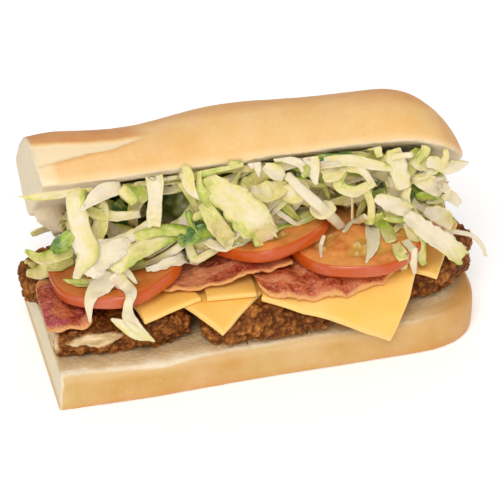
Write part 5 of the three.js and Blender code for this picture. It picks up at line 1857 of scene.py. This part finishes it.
# Lights: place, what it is aimed at, width and the property that holds its power
LIGHTS = {
    "key": ((-0.35, -0.7, 0.9), (0, 0, 0.05), 0.6, "key"),
    "fill_right": ((0.9, -0.4, 0.5), (0, 0, 0.05), 0.6, "fill"),
    "fill_low": ((-0.45, -0.9, 0.12), (0, 0, 0.06), 0.5, "low"),
    "back": ((0.1, 0.8, 0.7), (0, 0, 0.05), 0.8, "fill"),
}
FLOOR_REACH = 3000
FLOOR_DEPTH = 0.2
SKY_COLOUR = (1, 0.98, 0.95, 1)


def area_light(name, place, target, width, power):
    light = bpy.data.lights.new(name, "AREA")
    light.shape = "DISK"
    light.size = width
    light.energy = power
    lamp = bpy.data.objects.new(name, light)
    lamp.location = place
    lamp.rotation_euler = (Vector(target) - Vector(place)).to_track_quat("-Z", "Y").to_euler()
    bpy.context.scene.collection.objects.link(lamp)


def photo_camera():
    """The photograph's camera, aimed at the middle of the frame so that it needs no shift."""
    data = bpy.data.cameras.new("photo_camera")
    data.sensor_width = SENSOR
    data.lens = CAMERA.focal / FRAME_SIDE * SENSOR
    camera = bpy.data.objects.new("photo_camera", data)
    camera.location = Vector(CAMERA.place * MM)
    aim = Vector(CAMERA.ray(FRAME_SIDE / 2, FRAME_SIDE / 2))
    camera.rotation_euler = aim.to_track_quat("-Z", "Y").to_euler()
    bpy.context.scene.collection.objects.link(camera)
    bpy.context.scene.camera = camera


def floor_material(settings):
    plain = Paint("plain_floor")
    shade = plain.level(plain.noise(4, 2), 0.3, 0.7, 0.97, 1.0)
    colour = plain.mix(shade, (0.85, 0.85, 0.85), settings.floor)
    return plain.set(Base_Color=colour, Roughness=0.8, Specular_IOR_Level=0.2,
                     Emission_Color=(1, 1, 1, 1), Emission_Strength=settings.glow)


def plain_floor(settings):
    corners = [(-1, -1), (1, -1), (1, 1), (-1, 1)]
    points = [(x * FLOOR_REACH, y * FLOOR_REACH, -FLOOR_DEPTH) for x, y in corners]
    floor = mesh_object("floor", points, [(0, 1, 2, 3)])
    floor.data.materials.append(floor_material(settings))


def even_sky(settings):
    world = bpy.data.worlds.new("even_light")
    world.use_nodes = True
    background = world.node_tree.nodes["Background"]
    background.inputs["Color"].default_value = SKY_COLOUR
    background.inputs["Strength"].default_value = settings.sky
    bpy.context.scene.world = world


class SUB_OT_stage(bpy.types.Operator):
    """A plain pale floor, soft studio light and the photograph's camera"""
    bl_idname = "sub.stage"
    bl_label = "Stage"

    def execute(self, context):
        settings = context.scene.sub_stage
        photo_camera()
        plain_floor(settings)
        even_sky(settings)
        for name, (place, target, width, power) in LIGHTS.items():
            area_light(name, place, target, width, getattr(settings, power))
        context.scene.view_settings.view_transform = "Standard"
        return {"FINISHED"}


class SUB_PT_panel(bpy.types.Panel):
    """Buttons for each piece of the sub and for the stage"""
    bl_idname = "SUB_PT_panel"
    bl_label = "Chicken club sub"
    bl_space_type = "VIEW_3D"
    bl_region_type = "UI"
    bl_category = "Sub"

    def draw(self, context):
        for operator, group in PIECES:
            box = self.layout.box()
            box.operator(operator.bl_idname)
            settings = getattr(context.scene, group)
            for name in settings.__annotations__:
                box.prop(settings, name)


PIECES = (
    (SUB_OT_stage, "sub_stage"),
    (SUB_OT_bread, "sub_bread"),
    (SUB_OT_chicken, "sub_chicken"),
    (SUB_OT_cheese, "sub_cheese"),
    (SUB_OT_bacon, "sub_bacon"),
    (SUB_OT_tomato, "sub_tomato"),
    (SUB_OT_lettuce, "sub_lettuce"),
)
SETTINGS = {
    "sub_stage": StageSettings,
    "sub_bread": BreadSettings,
    "sub_chicken": ChickenSettings,
    "sub_cheese": CheeseSettings,
    "sub_bacon": BaconSettings,
    "sub_tomato": TomatoSettings,
    "sub_lettuce": LettuceSettings,
}


def register():
    for name, group in SETTINGS.items():
        bpy.utils.register_class(group)
        setattr(bpy.types.Scene, name, PointerProperty(type=group))
    for operator, _ in PIECES:
        bpy.utils.register_class(operator)
    bpy.utils.register_class(SUB_PT_panel)


def unregister():
    bpy.utils.unregister_class(SUB_PT_panel)
    for operator, _ in reversed(PIECES):
        bpy.utils.unregister_class(operator)
    for name, group in reversed(SETTINGS.items()):
        delattr(bpy.types.Scene, name)
        bpy.utils.unregister_class(group)


def main():
    register()
    for operator, _ in PIECES:
        group, name = operator.bl_idname.split(".")
        getattr(getattr(bpy.ops, group), name)()


if __name__ == "__main__":
    main()
